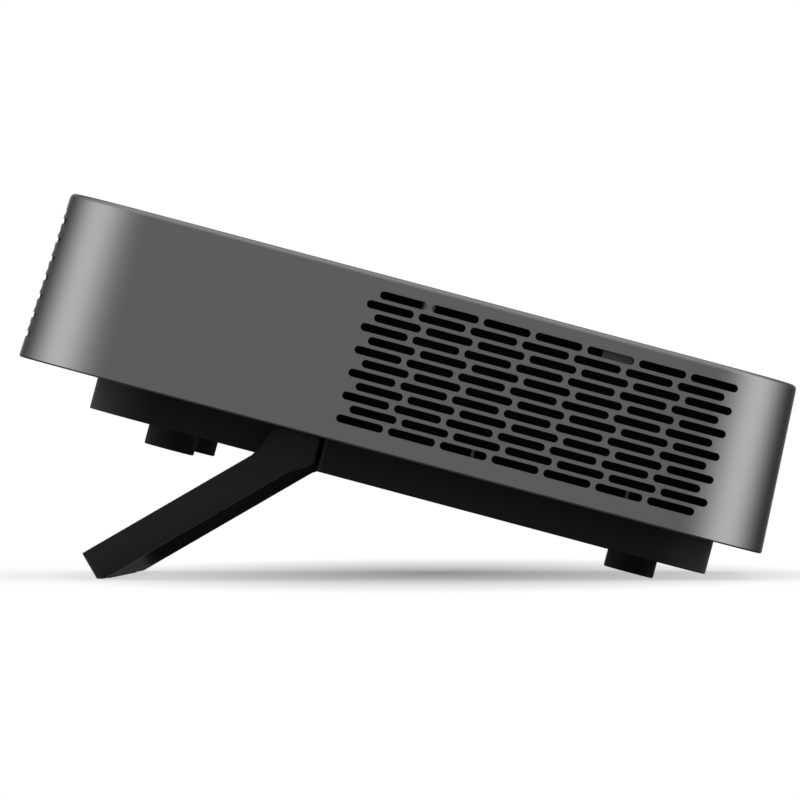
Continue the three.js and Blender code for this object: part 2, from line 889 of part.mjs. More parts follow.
// The corner that is cut off so that the bar lies flat on the floor, set back by a distance
function floorFlat(setBack, width) {
  const rise = stand.padFlatRise + setBack;
  const run = rise / Math.tan(stand.openAngle - tilt);
  const [x, z] = [-stand.reach, -standHalfHeight];
  const slope = rise / run;
  return sectionAcross(
    [
      [x - cutOverrun, z - cutOverrun],
      [x + run + cutOverrun / slope, z - cutOverrun],
      [x - cutOverrun, z + rise + cutOverrun * slope],
    ],
    width,
  );
}

function makeStandFrame() {
  const { reach, barThickness, tipRadius } = stand;
  const width = standWidth;
  const rootEnd = standHalfHeight;
  const innerRadius = base.cornerRadius + fitGap;
  const z = [-standHalfHeight, standHalfHeight];
  const outer = raised(
    roundedRectangle([-reach, rootEnd], about(0, width), [0, tipRadius, tipRadius, 0]),
    z,
  );
  const gap = raised(
    roundedRectangle(
      [-reach + barThickness, rootEnd + cutOverrun],
      about(0, 2 * standInnerHalf),
      [0, innerRadius, innerRadius, 0],
    ),
    [z[0] - cutOverrun, z[1] + cutOverrun],
  );
  const root = Array.from({ length: stand.rootSteps + 1 }, (_, i) => {
    const angle = (i / stand.rootSteps - 1 / 2) * 180 * degree;
    return [standHalfHeight * Math.cos(angle), standHalfHeight * Math.sin(angle)];
  });
  const side = sectionAcross(
    [...root, [-reach - cutOverrun, standHalfHeight], [-reach - cutOverrun, -standHalfHeight]],
    width + 2 * cutOverrun,
  );
  const seat = block(
    [-reach - cutOverrun, -reach + stand.padDepth + fitGap],
    about(0, stand.padLength + 2 * fitGap),
    [-standHalfHeight - cutOverrun, fitGap],
  );
  const pinHoles = [-1, 1].map((sideY) =>
    rod(
      stand.pinRadius + fitGap,
      stand.pinEngagement + fitGap + cutOverrun,
      sideY < 0 ? "-y" : "+y",
      [0, sideY * (standInnerHalf - cutOverrun), 0],
      roundSides,
    ),
  );
  return cut(outer.subtract(gap).intersect(side), seat, floorFlat(fitGap, width + 2 * cutOverrun), pinHoles);
}

function makeGripPad() {
  const pad = block(
    [-stand.reach, -stand.reach + stand.padDepth],
    about(0, stand.padLength),
    [-standHalfHeight, 0],
  );
  return cut(pad, floorFlat(0, standWidth));
}

function makeHingePin(side) {
  const length = standInnerHalf + stand.pinEngagement - pinBossInner;
  return rod(stand.pinRadius, length, side < 0 ? "-y" : "+y", [
    pivotX,
    side * pinBossInner,
    pinAxisZ,
  ]);
}

// Lens panel, drawn against the upright front wall: x is the depth behind the band's outer face
function panelPlug(grow, depth, { width, bottom, top, cornerRadius }, centre) {
  const outline = roundedRectangle(
    [-top - grow, -bottom + grow],
    about(centre, width + 2 * grow),
    cornerRadius + grow,
  );
  return placed(turnedSolid(raised(outline, [0, depth[1] - depth[0]]), turns["+x"]), [depth[0], 0, 0]);
}

function makeLensPanel() {
  const { thickness, lipWidth, lipThickness } = lensPanel;
  const centreY = panelCentreY;
  const lipFront = band.wall + fitGap;
  const plug = panelPlug(-fitGap, [0, thickness], lensPanel, centreY);
  const lip = panelPlug(lipWidth, [lipFront, lipFront + lipThickness], lensPanel, centreY);
  const depth = lipFront + lipThickness + 2 * cutOverrun;
  const seatDepth = lensPanel.windowThickness + 2 * fitGap + cutOverrun;
  return cut(
    joined(plug, lip),
    rod(lensPanel.windowRadius + fitGap, seatDepth, "+x", [-cutOverrun, lensY, lens.z], roundSides),
    rod(lensPanel.windowRadius - lensPanel.windowSeat, depth, "+x", [-cutOverrun, lensY, lens.z], roundSides),
    rod(lensPanel.sensorRadius + fitGap, seatDepth, "+x", [-cutOverrun, sensorY, lens.z]),
    rod(lensPanel.sensorRadius - lensPanel.windowSeat, depth, "+x", [-cutOverrun, sensorY, lens.z]),
  );
}

function makeWindow(radius, y, sides) {
  return rod(radius, lensPanel.windowThickness, "+x", [fitGap, y, lens.z], sides);
}

// Lens: every piece is turned about an axis that runs back along x, from the barrel's front edge
function makeBarrel() {
  const length = barrelRear - barrelFront;
  const shoulder = rearGlassX + lens.glassThickness + fitGap - barrelFront;
  const rearSeat = lens.rearGlassRadius + fitGap;
  const seatFront = shoulder - lens.glassThickness - lens.glassBulge - fitGap;
  const collarFront = gearRingX + focus.faceWidth + fitGap - barrelFront;
  const collarRear = collarFront + focus.collarThickness;
  return turned(
    loop([
      [lens.boreRadius, 0],
      [lens.barrelRadius, 0],
      [lens.barrelRadius, collarFront],
      [focus.collarRadius, collarFront],
      [focus.collarRadius, collarRear],
      [lens.barrelRadius, collarRear],
      [lens.barrelRadius, length - lens.flangeThickness],
      [lens.flangeRadius, length - lens.flangeThickness],
      [lens.flangeRadius, length],
      [lens.rearSeatBore, length],
      [lens.rearSeatBore, shoulder],
      [rearSeat, shoulder],
      [rearSeat, seatFront],
      [lens.boreRadius, seatFront],
    ]),
    "+x",
    [0, 0, 0],
  );
}

function makeGlass(radius) {
  const steps = 3;
  const dome = Array.from({ length: steps }, (_, i) => {
    const share = i / steps;
    return [radius * share, -lens.glassBulge * (1 - share * share)];
  });
  return turned(
    [...dome, [radius, 0], [radius, lens.glassThickness], [0, lens.glassThickness]],
    "+x",
    [0, 0, 0],
  );
}

function makeFocusCell() {
  const { cellLength, cellBore, cellSeatDepth, cellSeatRadius, boreRadius } = lens;
  return turned(
    loop([
      [cellSeatRadius, 0],
      [boreRadius - fitGap, 0],
      [boreRadius - fitGap, cellLength],
      [cellBore, cellLength],
      [cellBore, cellSeatDepth],
      [cellSeatRadius, cellSeatDepth],
    ]),
    "+x",
    [0, 0, 0],
  );
}

// A gear outline with teeth only within an arc about a direction, drawn anticlockwise
function gearOutline(teeth, arc, direction) {
  const pitch = pitchRadius(teeth);
  const tip = pitch + focus.addendumShare * focus.toothModule;
  const root = pitch - focus.dedendumShare * focus.toothModule;
  const step = (360 * degree) / teeth;
  const half = (step * focus.toothShare) / 2;
  const tipHalf = half * focus.tipShare;
  const rootHalf = half + ((half - tipHalf) * focus.dedendumShare) / focus.addendumShare;
  const at = (radius, angle) => [radius * Math.cos(angle), radius * Math.sin(angle)];
  return Array.from({ length: teeth }, (_, i) => {
    const angle = direction + (i - teeth / 2) * step;
    if (Math.abs(angle - direction) > arc / 2) return [at(root, angle)];
    return [
      at(root, angle - rootHalf),
      at(tip, angle - tipHalf),
      at(tip, angle + tipHalf),
      at(root, angle + rootHalf),
    ];
  }).flat();
}

function makeGearRing() {
  const outline = gearOutline(focus.ringTeeth, focus.toothedArc, 270 * degree);
  const gear = turnedSolid(raised(outline, [0, focus.faceWidth]), turns["+x"]);
  const flatsToCorners = 1 / Math.cos((180 * degree) / roundSides);
  const bore = rod(
    (lens.barrelRadius + fitGap) * flatsToCorners,
    focus.faceWidth + 2 * cutOverrun,
    "+x",
    [-cutOverrun, 0, 0],
    roundSides,
  );
  return cut(gear, bore);
}

function makePinion() {
  const firstTooth = 90 * degree + (180 * degree) / focus.pinionTeeth;
  const outline = gearOutline(focus.pinionTeeth, 720 * degree, firstTooth);
  const gear = turnedSolid(raised(outline, [0, focus.faceWidth]), turns["+x"]);
  const shaftLength = focus.motorLength / 2 + focus.faceWidth;
  return joined(gear, rod(focus.shaftRadius, shaftLength, "+x", [focus.faceWidth - shaftLength, 0, 0]));
}

function makeFocusMotor() {
  const length = focus.motorLength;
  return turned(
    [
      [0, 0],
      [focus.motorRadius, 0],
      [focus.motorRadius, length],
      [focus.shaftRadius + fitGap, length],
      [focus.shaftRadius + fitGap, length / 3],
      [0, length / 3],
    ],
    "+x",
    [-length, 0, 0],
  );
}

// Light engine
function makeEngine() {
  const { bottom, height, wall } = engine;
  const z = [bottom, bottom + height];
  const shrink = ([low, high], amount) => [low + amount, high - amount];
  const through = (radius, direction, start) => rod(radius, wall + 2 * cutOverrun, direction, start, roundSides);
  const ledHole = engine.ledWidth / 3;
  return cut(
    block(engineX, engineY, z),
    block(shrink(engineX, wall), shrink(engineY, wall), shrink(z, wall)),
    through(engine.lensHole, "+x", [engineX[0] - cutOverrun, lensY, lens.z]),
    through(ledHole, "-x", [engineX[1] + cutOverrun, lensY, lens.z]),
    through(ledHole, "+y", [greenX, engineY[0] - cutOverrun, pipe.z]),
    through(ledHole, "+y", [blueX, engineY[0] - cutOverrun, pipe.z]),
  );
}

// A lamp on its square cooling plate, which lies against the housing at z = 0 with the lamp in the hole
function makeLed() {
  const { ledWidth, ledHeight, ledThickness, wall } = engine;
  const plate = block(about(0, ledHeight), about(0, ledWidth), [-ledThickness, 0]);
  return joined(plate, rod(ledWidth / 4, wall, "+z", [0, 0, -wall / 3]));
}

function makeImagerBoard() {
  const { boardLength, boardHeight, boardThickness } = engine;
  const chipSize = boardHeight / 2;
  const plate = block(about(0, boardLength), [0, boardThickness], about(0, boardHeight));
  const chip = block(about(0, chipSize), [boardThickness / 2, 2 * boardThickness], about(0, chipSize));
  return joined(plate, chip);
}

// Fan, drawn with its hub axis along z: the inner face is at z = 0
function makeFanFrame() {
  const half = fan.size / 2;
  const outline = roundedRectangle([-half, half], [-half, half], fan.cornerRadius, cornerSteps / 4);
  const depth = fan.depth + 2 * cutOverrun;
  const walls = cut(
    raised(outline, [0, fan.depth]),
    rod(fan.boreRadius, depth, "+z", [0, 0, -cutOverrun], roundSides),
  );
  const span = 2 * fan.boreRadius + fan.strutWidth;
  return joined(
    walls,
    block(about(0, span), about(0, fan.strutWidth), [0, fan.seatThickness]),
    block(about(0, fan.strutWidth), about(0, span), [0, fan.seatThickness]),
    rod(fan.motorSeatRadius, fan.seatThickness, "+z", [0, 0, 0]),
  );
}

function makeDustScreen(side) {
  const y = side < 0 ? [-screenY[1], -screenY[0]] : screenY;
  const x = [sideSlotsStart - dustScreen.frontMargin, sideSlotsRear + dustScreen.rearMargin];
  return block(x, y, [flangeTop + fitGap, ledgeTop]);
}

function makeRotor() {
  const low = fan.seatThickness + fitGap;
  const hub = rod(fan.hubRadius, fan.hubDepth, "+z", [0, 0, low], roundSides);
  const length = fan.rotorRadius - fan.hubRadius + cutOverrun;
  const blades = Array.from({ length: fan.blades }, (_, i) => {
    const geometry = new THREE.BoxGeometry(length, fan.bladeThickness, fan.bladeWidth);
    geometry.rotateX(fan.bladePitch);
    geometry.translate(fan.rotorRadius - length / 2, 0, low + fan.hubDepth / 2);
    geometry.rotateZ((i * 360 * degree) / fan.blades);
    return solidFrom(geometry);
  });
  return joined(hub, blades);
}

function makeHeatsink() {
  const plate = block(sinkX, sinkY, [fanZ[0], fanZ[0] + heatsink.baseThickness]);
  const pitch = (fan.size - heatsink.endWall) / heatsink.fins;
  const endPlate = block([sinkX[0], sinkX[0] + heatsink.endWall], sinkY, fanZ);
  const fins = Array.from({ length: heatsink.fins }, (_, i) => {
    const x = sinkX[1] - i * pitch;
    return block([x - heatsink.finThickness, x], sinkY, fanZ);
  });
  return joined(plate, endPlate, fins);
}

function makeHeatPipe() {
  const startY = engineNear - engine.ledThickness - 2 * fitGap;
  const endX = sinkX[0] - fitGap;
  const endY = (sinkY[0] + sinkY[1]) / 2;
  const { bendRadius, radius, z } = pipe;
  const corner = new THREE.Vector3(blueX, endY, z);
  const before = corner.clone().add(new THREE.Vector3(0, bendRadius, 0));
  const after = corner.clone().add(new THREE.Vector3(bendRadius, 0, 0));
  const path = new THREE.CurvePath();
  path.add(new THREE.LineCurve3(new THREE.Vector3(blueX, startY, z), before));
  path.add(new THREE.QuadraticBezierCurve3(before, corner, after));
  path.add(new THREE.LineCurve3(after, new THREE.Vector3(endX, endY, z)));
  const section = new THREE.Shape(
    Array.from({ length: pipe.sides }, (_, i) => {
      const angle = (i * 360 * degree) / pipe.sides;
      return new THREE.Vector2(radius * Math.cos(angle), radius * Math.sin(angle));
    }),
  );
  return solidFrom(
    new THREE.ExtrudeGeometry(section, { steps: pipe.steps, extrudePath: path, bevelEnabled: false }),
  );
}

// Speakers, drawn facing +z with the driver's rim at z = 0
function makeSpeakerBox() {
  const { height, depth } = speaker;
  const width = speakerWidth;
  const body = block(about(0, height), about(0, width), [-depth, 0]);
  const recess = rod(
    speakerOpening,
    speaker.openingDepth + cutOverrun,
    "+z",
    [0, 0, -speaker.openingDepth],
    roundSides,
  );
  return cut(body, recess);
}

function makeSpeakerCone() {
  const { coneDepth, coneThickness, domeRadius, domeHeight } = speaker;
  const coneRadius = speakerOpening - speaker.coneGap;
  return turned(
    [
      [0, 0],
      [domeRadius, 0],
      [coneRadius, coneDepth],
      [coneRadius, coneDepth + coneThickness],
      [coneRadius - coneThickness, coneDepth + coneThickness],
      [domeRadius + coneThickness, coneThickness],
      [domeRadius / 2, domeHeight],
      [0, domeHeight + coneThickness],
    ],
    "+z",
    [0, 0, fitGap - speaker.openingDepth],
  );
}

// Rear board, sockets and port panel
const boardTop = board.z + board.thickness;
const panelHalf = innerHalfAt(portPanel.top + portPanel.lip) - fitGap;
const panelInner = panelHalf - portPanel.thickness;
const socketRear = panelInner - fitGap;
const socketBottom = boardTop + fitGap;

function makeBoard() {
  const plate = block(boardX, boardY, [board.z, boardTop]);
  const chip = (shareX, shareY, size) => {
    const x = boardFront + shareX * (boardRear - boardFront);
    const y = boardNear + shareY * (boardFar - boardNear);
    return block(about(x, size), about(y, size), [boardTop - board.thickness / 2, boardTop + board.thickness]);
  };
  const chipShares = [
    [0.3, 0.5],
    [0.3, 0.25],
    [0.25, 0.8],
  ];
  const chipSize = 9 * board.thickness;
  return joined(plate, ...chipShares.map(([x, y]) => chip(x, y, chipSize)));
}

function makeSocket({ y, width, height, depth }) {
  const bodyDepth = depth + socketWall;
  const body = block([socketRear - bodyDepth, socketRear], about(y, width + 2 * socketWall), [
    socketBottom,
    socketBottom + height + 2 * socketWall,
  ]);
  const hollow = block([socketRear - depth, socketRear + cutOverrun], about(y, width), [
    socketBottom + socketWall,
    socketBottom + socketWall + height,
  ]);
  return cut(body, hollow);
}

function makeRoundSocket({ y, boreRadius, bodyWidth, depth, pinRadius }) {
  const z = socketBottom + bodyWidth / 2;
  const body = block([socketRear - depth - socketWall, socketRear], about(y, bodyWidth), about(z, bodyWidth));
  const bore = rod(boreRadius, depth + cutOverrun, "+x", [socketRear - depth, y, z], roundSides);
  const hollow = cut(body, bore);
  if (pinRadius === 0) return hollow;
  return joined(hollow, rod(pinRadius, depth - socketWall, "+x", [socketRear - depth - socketWall / 2, y, z]));
}

function makePortPanel() {
  const outline = roundedRectangle(
    [-portPanel.top - portPanel.lip, -portPanel.bottom + portPanel.lip],
    about(0, portPanel.width + 2 * portPanel.lip),
    portPanel.cornerRadius,
  );
  const plate = placed(turnedSolid(raised(outline, [0, portPanel.thickness]), turns["+x"]), [
    panelInner,
    0,
    0,
  ]);
  const x = [panelInner - cutOverrun, panelHalf + cutOverrun];
  const windows = Object.values(sockets).map(({ y, width, height }) =>
    block(
      x,
      about(y, width + portPanel.apertureMargin),
      about(socketBottom + socketWall + height / 2, height + portPanel.apertureMargin),
    ),
  );
  const rounds = Object.values(roundSockets).map(({ y, boreRadius, bodyWidth }) =>
    rod(
      boreRadius + portPanel.apertureMargin / 2,
      x[1] - x[0],
      "+x",
      [x[0], y, socketBottom + bodyWidth / 2],
      roundSides,
    ),
  );
  return cut(plate, windows, rounds);
}

// Assembly
const f = finishes;

function group(position, rotation, children) {
  const made = new THREE.Group();
  made.position.set(...position);
  made.rotation.set(...rotation);
  made.add(...children);
  return made;
}
const level = [0, 0, 0];

function makeCase() {
  const keys = Object.entries(keyPlaces).map(([name, place]) =>
    mesh(name, makeKey(place), f.coverPlastic),
  );
  return group(level, level, [
    mesh("band_shell", makeBand(), f.brushedMetal),
    mesh("top_cover", makeCover(), f.coverPlastic),
    ...keys,
    mesh("key_board", makeKeyBoard(), f.circuitBoard),
    mesh("rear_port_panel", makePortPanel(), f.coverPlastic),
  ]);
}

function makeUnderside() {
  const feetMeshes = Object.entries(feet).map(([name, place]) => mesh(name, makeFoot(place), f.rubber));
  const screws = Object.entries(screwPlaces).map(([name, place]) =>
    mesh(`case_screw_${name}`, makeScrew(place), f.steel),
  );
  return group(level, level, [
    mesh("base_shell", makeBase(), f.basePlastic),
    ...feetMeshes,
    ...screws,
    mesh("tripod_insert", makeTripodInsert(), f.brass),
    mesh("hinge_pin_near", makeHingePin(-1), f.steel),
    mesh("hinge_pin_far", makeHingePin(1), f.steel),
  ]);
}

function makeStand() {
  return group([pivotX, 0, pinAxisZ], [0, -stand.openAngle, 0], [
    mesh("stand_frame", makeStandFrame(), f.standPlastic),
    mesh("stand_grip_pad", makeGripPad(), f.rubber),
  ]);
}

function makeLensEnd() {
  const panel = group([-bandHalf, 0, 0], [0, band.draft, 0], [
    mesh("lens_panel", makeLensPanel(), f.gloss),
    mesh("lens_window", makeWindow(lensPanel.windowRadius, lensY, roundSides), f.glass),
    mesh(
      "sensor_window",
      makeWindow(lensPanel.sensorRadius, sensorY, smallRoundSides),
      f.gloss,
    ),
  ]);
  const cellX = lens.cellInset;
  const glassX = cellX + lens.cellSeatDepth - fitGap - lens.glassThickness;
  const axis = [barrelFront, lensY, lens.z];
  const ringX = gearRingX - barrelFront;
  const optics = group(axis, level, [
    mesh("lens_barrel", makeBarrel(), f.coverPlastic),
    group([cellX, 0, 0], level, [mesh("focus_cell", makeFocusCell(), f.aluminium)]),
    group([glassX, 0, 0], level, [mesh("front_lens", makeGlass(lens.cellSeatRadius - fitGap), f.glass)]),
    group([rearGlassX - barrelFront, 0, 0], level, [
      mesh("rear_lens", makeGlass(lens.rearGlassRadius), f.glass),
    ]),
    group([ringX, 0, 0], level, [mesh("focus_gear_ring", makeGearRing(), f.whitePlastic)]),
  ]);
  const drive = group([gearRingX, motorY, lens.z], level, [
    mesh("focus_pinion", makePinion(), f.brass),
    group([motorRear - gearRingX, 0, 0], level, [mesh("focus_motor", makeFocusMotor(), f.steel)]),
  ]);
  return group(level, level, [panel, optics, drive]);
}

function makeLightEngine() {
  const ledFace = engineNear - fitGap;
  const quarter = 90 * degree;
  const led = (name) => mesh(name, makeLed(), f.copper);
  return group(level, level, [
    mesh("light_engine_housing", makeEngine(), f.aluminium),
    group([engineX[1] + fitGap, lensY, lens.z], [0, -quarter, 0], [led("red_led_module")]),
    group([greenX, ledFace, pipe.z], [-quarter, 0, 0], [led("green_led_module")]),
    group([blueX, ledFace, pipe.z], [-quarter, 0, 0], [led("blue_led_module")]),
    group([(engineX[0] + engineX[1]) / 2, engineY[1] + fitGap, engine.bottom + engine.height / 2], level, [
      mesh("imager_board", makeImagerBoard(), f.circuitBoard),
    ]),
    mesh("led_heatsink", makeHeatsink(), f.aluminium),
    mesh("heat_pipe", makeHeatPipe(), f.copper),
  ]);
}

function makeFan(prefix, side) {
  const centreZ = (fanZ[0] + fanZ[1]) / 2;
  return group([fanX, side * fanInnerY, centreZ], [-side * 90 * degree, 0, 0], [
    mesh(`${prefix}_fan_frame`, makeFanFrame(), f.coverPlastic),
    mesh(`${prefix}_fan_rotor`, makeRotor(), f.coverPlastic),
  ]);
}

function makeDustScreens() {
  return group(level, level, [
    mesh("exhaust_dust_screen", makeDustScreen(-1), f.coverPlastic),
    mesh("intake_dust_screen", makeDustScreen(1), f.coverPlastic),
  ]);
}

function makeSpeakers() {
  return ["near", "middle"].map((word, i) =>
    group(
      [speakerFront, speakerY[i], flangeTop + fitGap + speaker.height / 2],
      [0, -90 * degree, 0],
      [
        mesh(`speaker_box_${word}`, makeSpeakerBox(), f.coverPlastic),
        mesh(`speaker_cone_${word}`, makeSpeakerCone(), f.cone),
      ],
    ),
  );
}

function makeRearBoard() {
  const square = Object.entries(sockets).map(([name, size]) => mesh(name, makeSocket(size), f.steel));
  const round = Object.entries(roundSockets).map(([name, size]) =>
    mesh(name, makeRoundSocket(size), f.coverPlastic),
  );
  return group(level, level, [mesh("main_board", makeBoard(), f.circuitBoard), ...square, ...round]);
}

// The whole projector leans back on its stand, centred over the middle of its outer box
const topRearZ = band.height - band.edgeRound;
const frontReach = -bandHalf * Math.cos(tilt);
const rearReach = outerHalfAt(topRearZ) * Math.cos(tilt) + topRearZ * Math.sin(tilt);
const projector = group([-(frontReach + rearReach) / 2, 0, floorDrop], [0, tilt, 0], [
  makeCase(),
  makeUnderside(),
  makeStand(),
  makeLensEnd(),
  makeLightEngine(),
  makeFan("exhaust", -1),
  makeFan("intake", 1),
  makeDustScreens(),
  ...makeSpeakers(),
  makeRearBoard(),
]);

const root = new THREE.Group();
root.add(projector);
export default root;
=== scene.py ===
import json
import math

import bmesh
import bpy
import numpy as np
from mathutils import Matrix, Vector


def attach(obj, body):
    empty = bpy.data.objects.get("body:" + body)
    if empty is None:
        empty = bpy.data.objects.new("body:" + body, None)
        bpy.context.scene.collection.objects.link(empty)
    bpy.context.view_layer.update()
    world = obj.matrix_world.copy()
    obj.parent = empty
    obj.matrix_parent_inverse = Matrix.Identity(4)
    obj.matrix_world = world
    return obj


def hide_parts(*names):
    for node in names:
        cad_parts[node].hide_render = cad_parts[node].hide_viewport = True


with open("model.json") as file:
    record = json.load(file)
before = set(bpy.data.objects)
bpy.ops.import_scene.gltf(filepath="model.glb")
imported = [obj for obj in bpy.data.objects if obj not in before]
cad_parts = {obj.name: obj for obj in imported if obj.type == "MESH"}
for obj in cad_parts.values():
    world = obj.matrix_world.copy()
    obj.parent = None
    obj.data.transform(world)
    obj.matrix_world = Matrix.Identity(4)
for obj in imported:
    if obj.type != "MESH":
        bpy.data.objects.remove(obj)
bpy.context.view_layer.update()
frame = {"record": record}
mm = 0.001
degree = math.pi / 180
smoothAngle = 35 * degree  # faces that meet at less than this are shaded as one
past = 1  # how far a cutter runs beyond the face it cuts, in mm
sharp = 0.01  # the radius of a corner that is meant to be sharp, in mm
print("frame loaded")

# The projector leans back on its stand, so its own axes are turned about Y. The turn and the
# origin come from the tripod mount, whose face looks straight down out of the body. Sizes below
# are in mm.
tripodPlace = np.array([34, 9.5, -10])
tripodFace = next(
    mount for mount in frame["record"]["mounts"] if mount["name"] == "tripod_face"
)
tilt = math.atan2(-tripodFace["axis"][0], -tripodFace["axis"][2])


def turnAboutY(angle):
    # x' = x cos + z sin, z' = z cos - x sin
    return np.array([
        [math.cos(angle), 0, math.sin(angle)],
        [0, 1, 0],
        [-math.sin(angle), 0, math.cos(angle)],
    ])


bodyTurn = turnAboutY(tilt)
bodyOrigin = np.array(tripodFace["pos_m"]) - bodyTurn @ tripodPlace * mm


def inBody(points):
    # world = turn * point + origin, for points in mm in the projector's own axes
    return np.asarray(points) * mm @ bodyTurn.T + bodyOrigin


def fromBody(points):
    # the reverse: world points to the projector's own axes, in mm
    return (np.asarray(points) - bodyOrigin) @ bodyTurn / mm


# Mesh building: each surface is a grid over two parameters, or several such grids in one mesh
def setSmooth(made):
    # smooth shading, apart from edges sharper than smoothAngle
    made.data.shade_smooth()
    made.data.set_sharp_from_angle(angle=smoothAngle)


def addObject(name, vertices, faces, place=inBody):
    # points and faces as one mesh, its doubles merged and its faces turned outwards
    mesh = bpy.data.meshes.new(name)
    mesh.from_pydata(place(vertices).tolist(), [], faces)
    shape = bmesh.new()
    shape.from_mesh(mesh)
    bmesh.ops.remove_doubles(shape, verts=shape.verts, dist=1e-7)
    bmesh.ops.recalc_face_normals(shape, faces=shape.faces)
    shape.to_mesh(mesh)
    shape.free()
    made = bpy.data.objects.new(name, mesh)
    bpy.context.scene.collection.objects.link(made)
    setSmooth(made)
    return made


def gridFaces(rows, columns, closeRows, closeColumns):
    # quads between neighbouring points of a grid, wrapping round where it is closed
    i = np.arange(rows if closeRows else rows - 1)
    j = np.arange(columns if closeColumns else columns - 1)
    i, j = np.meshgrid(i, j, indexing="ij")
    nextI = (i + 1) % rows
    nextJ = (j + 1) % columns
    corners = [
        i * columns + j, i * columns + nextJ, nextI * columns + nextJ, nextI * columns + j
    ]
    return np.stack(corners, -1).reshape(-1, 4).tolist()


def gridBody(name, grid, looped=False, place=inBody):
    # a body from rings of points, its ends closed by one face each, or looped round as a tube is
    rows, columns = grid.shape[:2]
    faces = gridFaces(rows, columns, looped, True)
    if not looped:
        faces.append(list(range(columns)))
        faces.append(list(range((rows - 1) * columns, rows * columns)))
    return addObject(name, grid.reshape(-1, 3), faces, place)


def centred(centre, size):
    # a span about a centre: centre - size / 2 to centre + size / 2
    return (centre - size / 2, centre + size / 2)


def bothSides(inner, outer):
    # a span on the near side of the middle plane, and its mirror image on the far side
    return [(-outer, -inner), (inner, outer)]


def outlineOf(xs, ys, radii, arcSteps=24):
    # A rectangle with round corners, each point as centre + radius * direction, so that an inset
    # only shortens the radius. The radii go anticlockwise from the +x +y corner.
    (x0, x1), (y0, y1) = xs, ys
    a, b, c, d = radii if hasattr(radii, "__len__") else (radii,) * 4
    centres = np.array([(x1 - a, y1 - a), (x0 + b, y1 - b), (x0 + c, y0 + c), (x1 - d, y0 + d)])
    quarters = np.arange(4)[:, None] + np.linspace(0, 1, arcSteps + 1)[None]
    angles = quarters * math.pi / 2
    directions = np.stack([np.cos(angles), np.sin(angles)], -1)
    return (
        np.repeat(centres, arcSteps + 1, axis=0),
        directions.reshape(-1, 2),
        np.repeat([a, b, c, d], arcSteps + 1),
    )


axisOrders = {"z": [0, 1, 2], "x": [2, 0, 1], "y": [1, 2, 0]}


def outlineGrid(outline, profile, direction="z"):
    # point(t, s) = centre(t) + (radius(t) - inset(s)) * direction(t), at height(s)
    centres, directions, sizes = outline
    insets, heights = np.array(profile, dtype=float).T
    reach = sizes[None, :, None] - insets[:, None, None]
    plan = centres[None] + reach * directions[None]
    level = np.broadcast_to(heights[:, None, None], plan.shape[:2] + (1,))
    return np.concatenate([plan, level], -1)[..., axisOrders[direction]]


def outlineBody(name, outline, profile, direction="z", looped=False, place=inBody):
    # an outline carried up through a profile of (inset, height)
    return gridBody(name, outlineGrid(outline, profile, direction), looped, place)


def roundedStart(low, edge, steps=3):
    # a quarter circle of inset, as (inset, height), from a flat lower end out to the side
    turn = np.linspace(0, math.pi / 2, steps + 1)
    return np.stack([edge * (1 - np.sin(turn)), low + edge * (1 - np.cos(turn))], -1)


def roundedFinish(high, edge, steps=3):
    # the same from the side in to a flat upper end
    turn = np.linspace(0, math.pi / 2, steps + 1)
    return np.stack([edge * (1 - np.cos(turn)), high - edge * (1 - np.sin(turn))], -1)


def roundedEnds(low, high, edge):
    # the profile of a slab that is rounded at both ends
    return np.concatenate([roundedStart(low, edge), roundedFinish(high, edge)])


def turnedRim(radius, rim):
    # turns (inset, height) into (radius, height)
    return [(radius - inset, height) for inset, height in rim]


def turnedBody(name, profile, centre, direction="z", sides=64, looped=False, place=inBody):
    # a profile of (radius, height) carried round an axis
    radii, heights = np.array(profile, dtype=float).T
    angle = np.arange(sides) * 2 * math.pi / sides
    ring = np.stack([np.cos(angle), np.sin(angle)], -1)
    plan = radii[:, None, None] * ring[None]
    level = np.broadcast_to(heights[:, None, None], plan.shape[:2] + (1,))
    grid = np.concatenate([plan, level], -1)[..., axisOrders[direction]] + np.array(centre)
    return gridBody(name, grid, looped, place)


def boxBody(name, xs, ys, zs, place=inBody):
    # a box between two planes each way
    x, y, z = np.meshgrid(xs, ys, zs, indexing="ij")
    faces = [
        [0, 1, 3, 2], [4, 6, 7, 5], [0, 4, 5, 1], [2, 3, 7, 6], [0, 2, 6, 4], [1, 5, 7, 3]
    ]
    return addObject(name, np.stack([x, y, z], -1).reshape(-1, 3), faces, place)


def prismCopies(name, outline, centres, low, high, direction, place=inBody):
    # one outline raised between two depths and copied to every centre
    count, sides = len(centres), len(outline)
    plan = np.asarray(centres)[:, None, None, :] + np.asarray(outline)[None, None]
    plan = np.broadcast_to(plan, (count, 2, sides, 2))
    depth = np.broadcast_to(np.array([low, high])[None, :, None, None], (count, 2, sides, 1))
    points = np.concatenate([plan, depth], -1)[..., axisOrders[direction]]
    side = np.array(gridFaces(2, sides, False, True))
    first = np.arange(count) * 2 * sides
    faces = (side[None] + first[:, None, None]).reshape(-1, 4).tolist()
    faces += (np.arange(sides)[None] + first[:, None]).tolist()
    faces += (np.arange(sides)[None] + first[:, None] + sides).tolist()
    return addObject(name, points.reshape(-1, 3), faces, place)


def stadium(length, width, steps=8):
    # a slot's outline: straight sides and half-circle ends, its length along the first axis
    turn = np.linspace(-math.pi / 2, math.pi / 2, steps + 1)
    angle = np.concatenate([turn, turn + math.pi])
    reach = np.repeat([(length - width) / 2, (width - length) / 2], steps + 1)
    return np.stack([reach + width / 2 * np.cos(angle), width / 2 * np.sin(angle)], -1)


def roundOutline(radius, sides=32):
    # a circle, as a slot that is no longer than it is wide
    return stadium(2 * radius, 2 * radius, sides // 2)


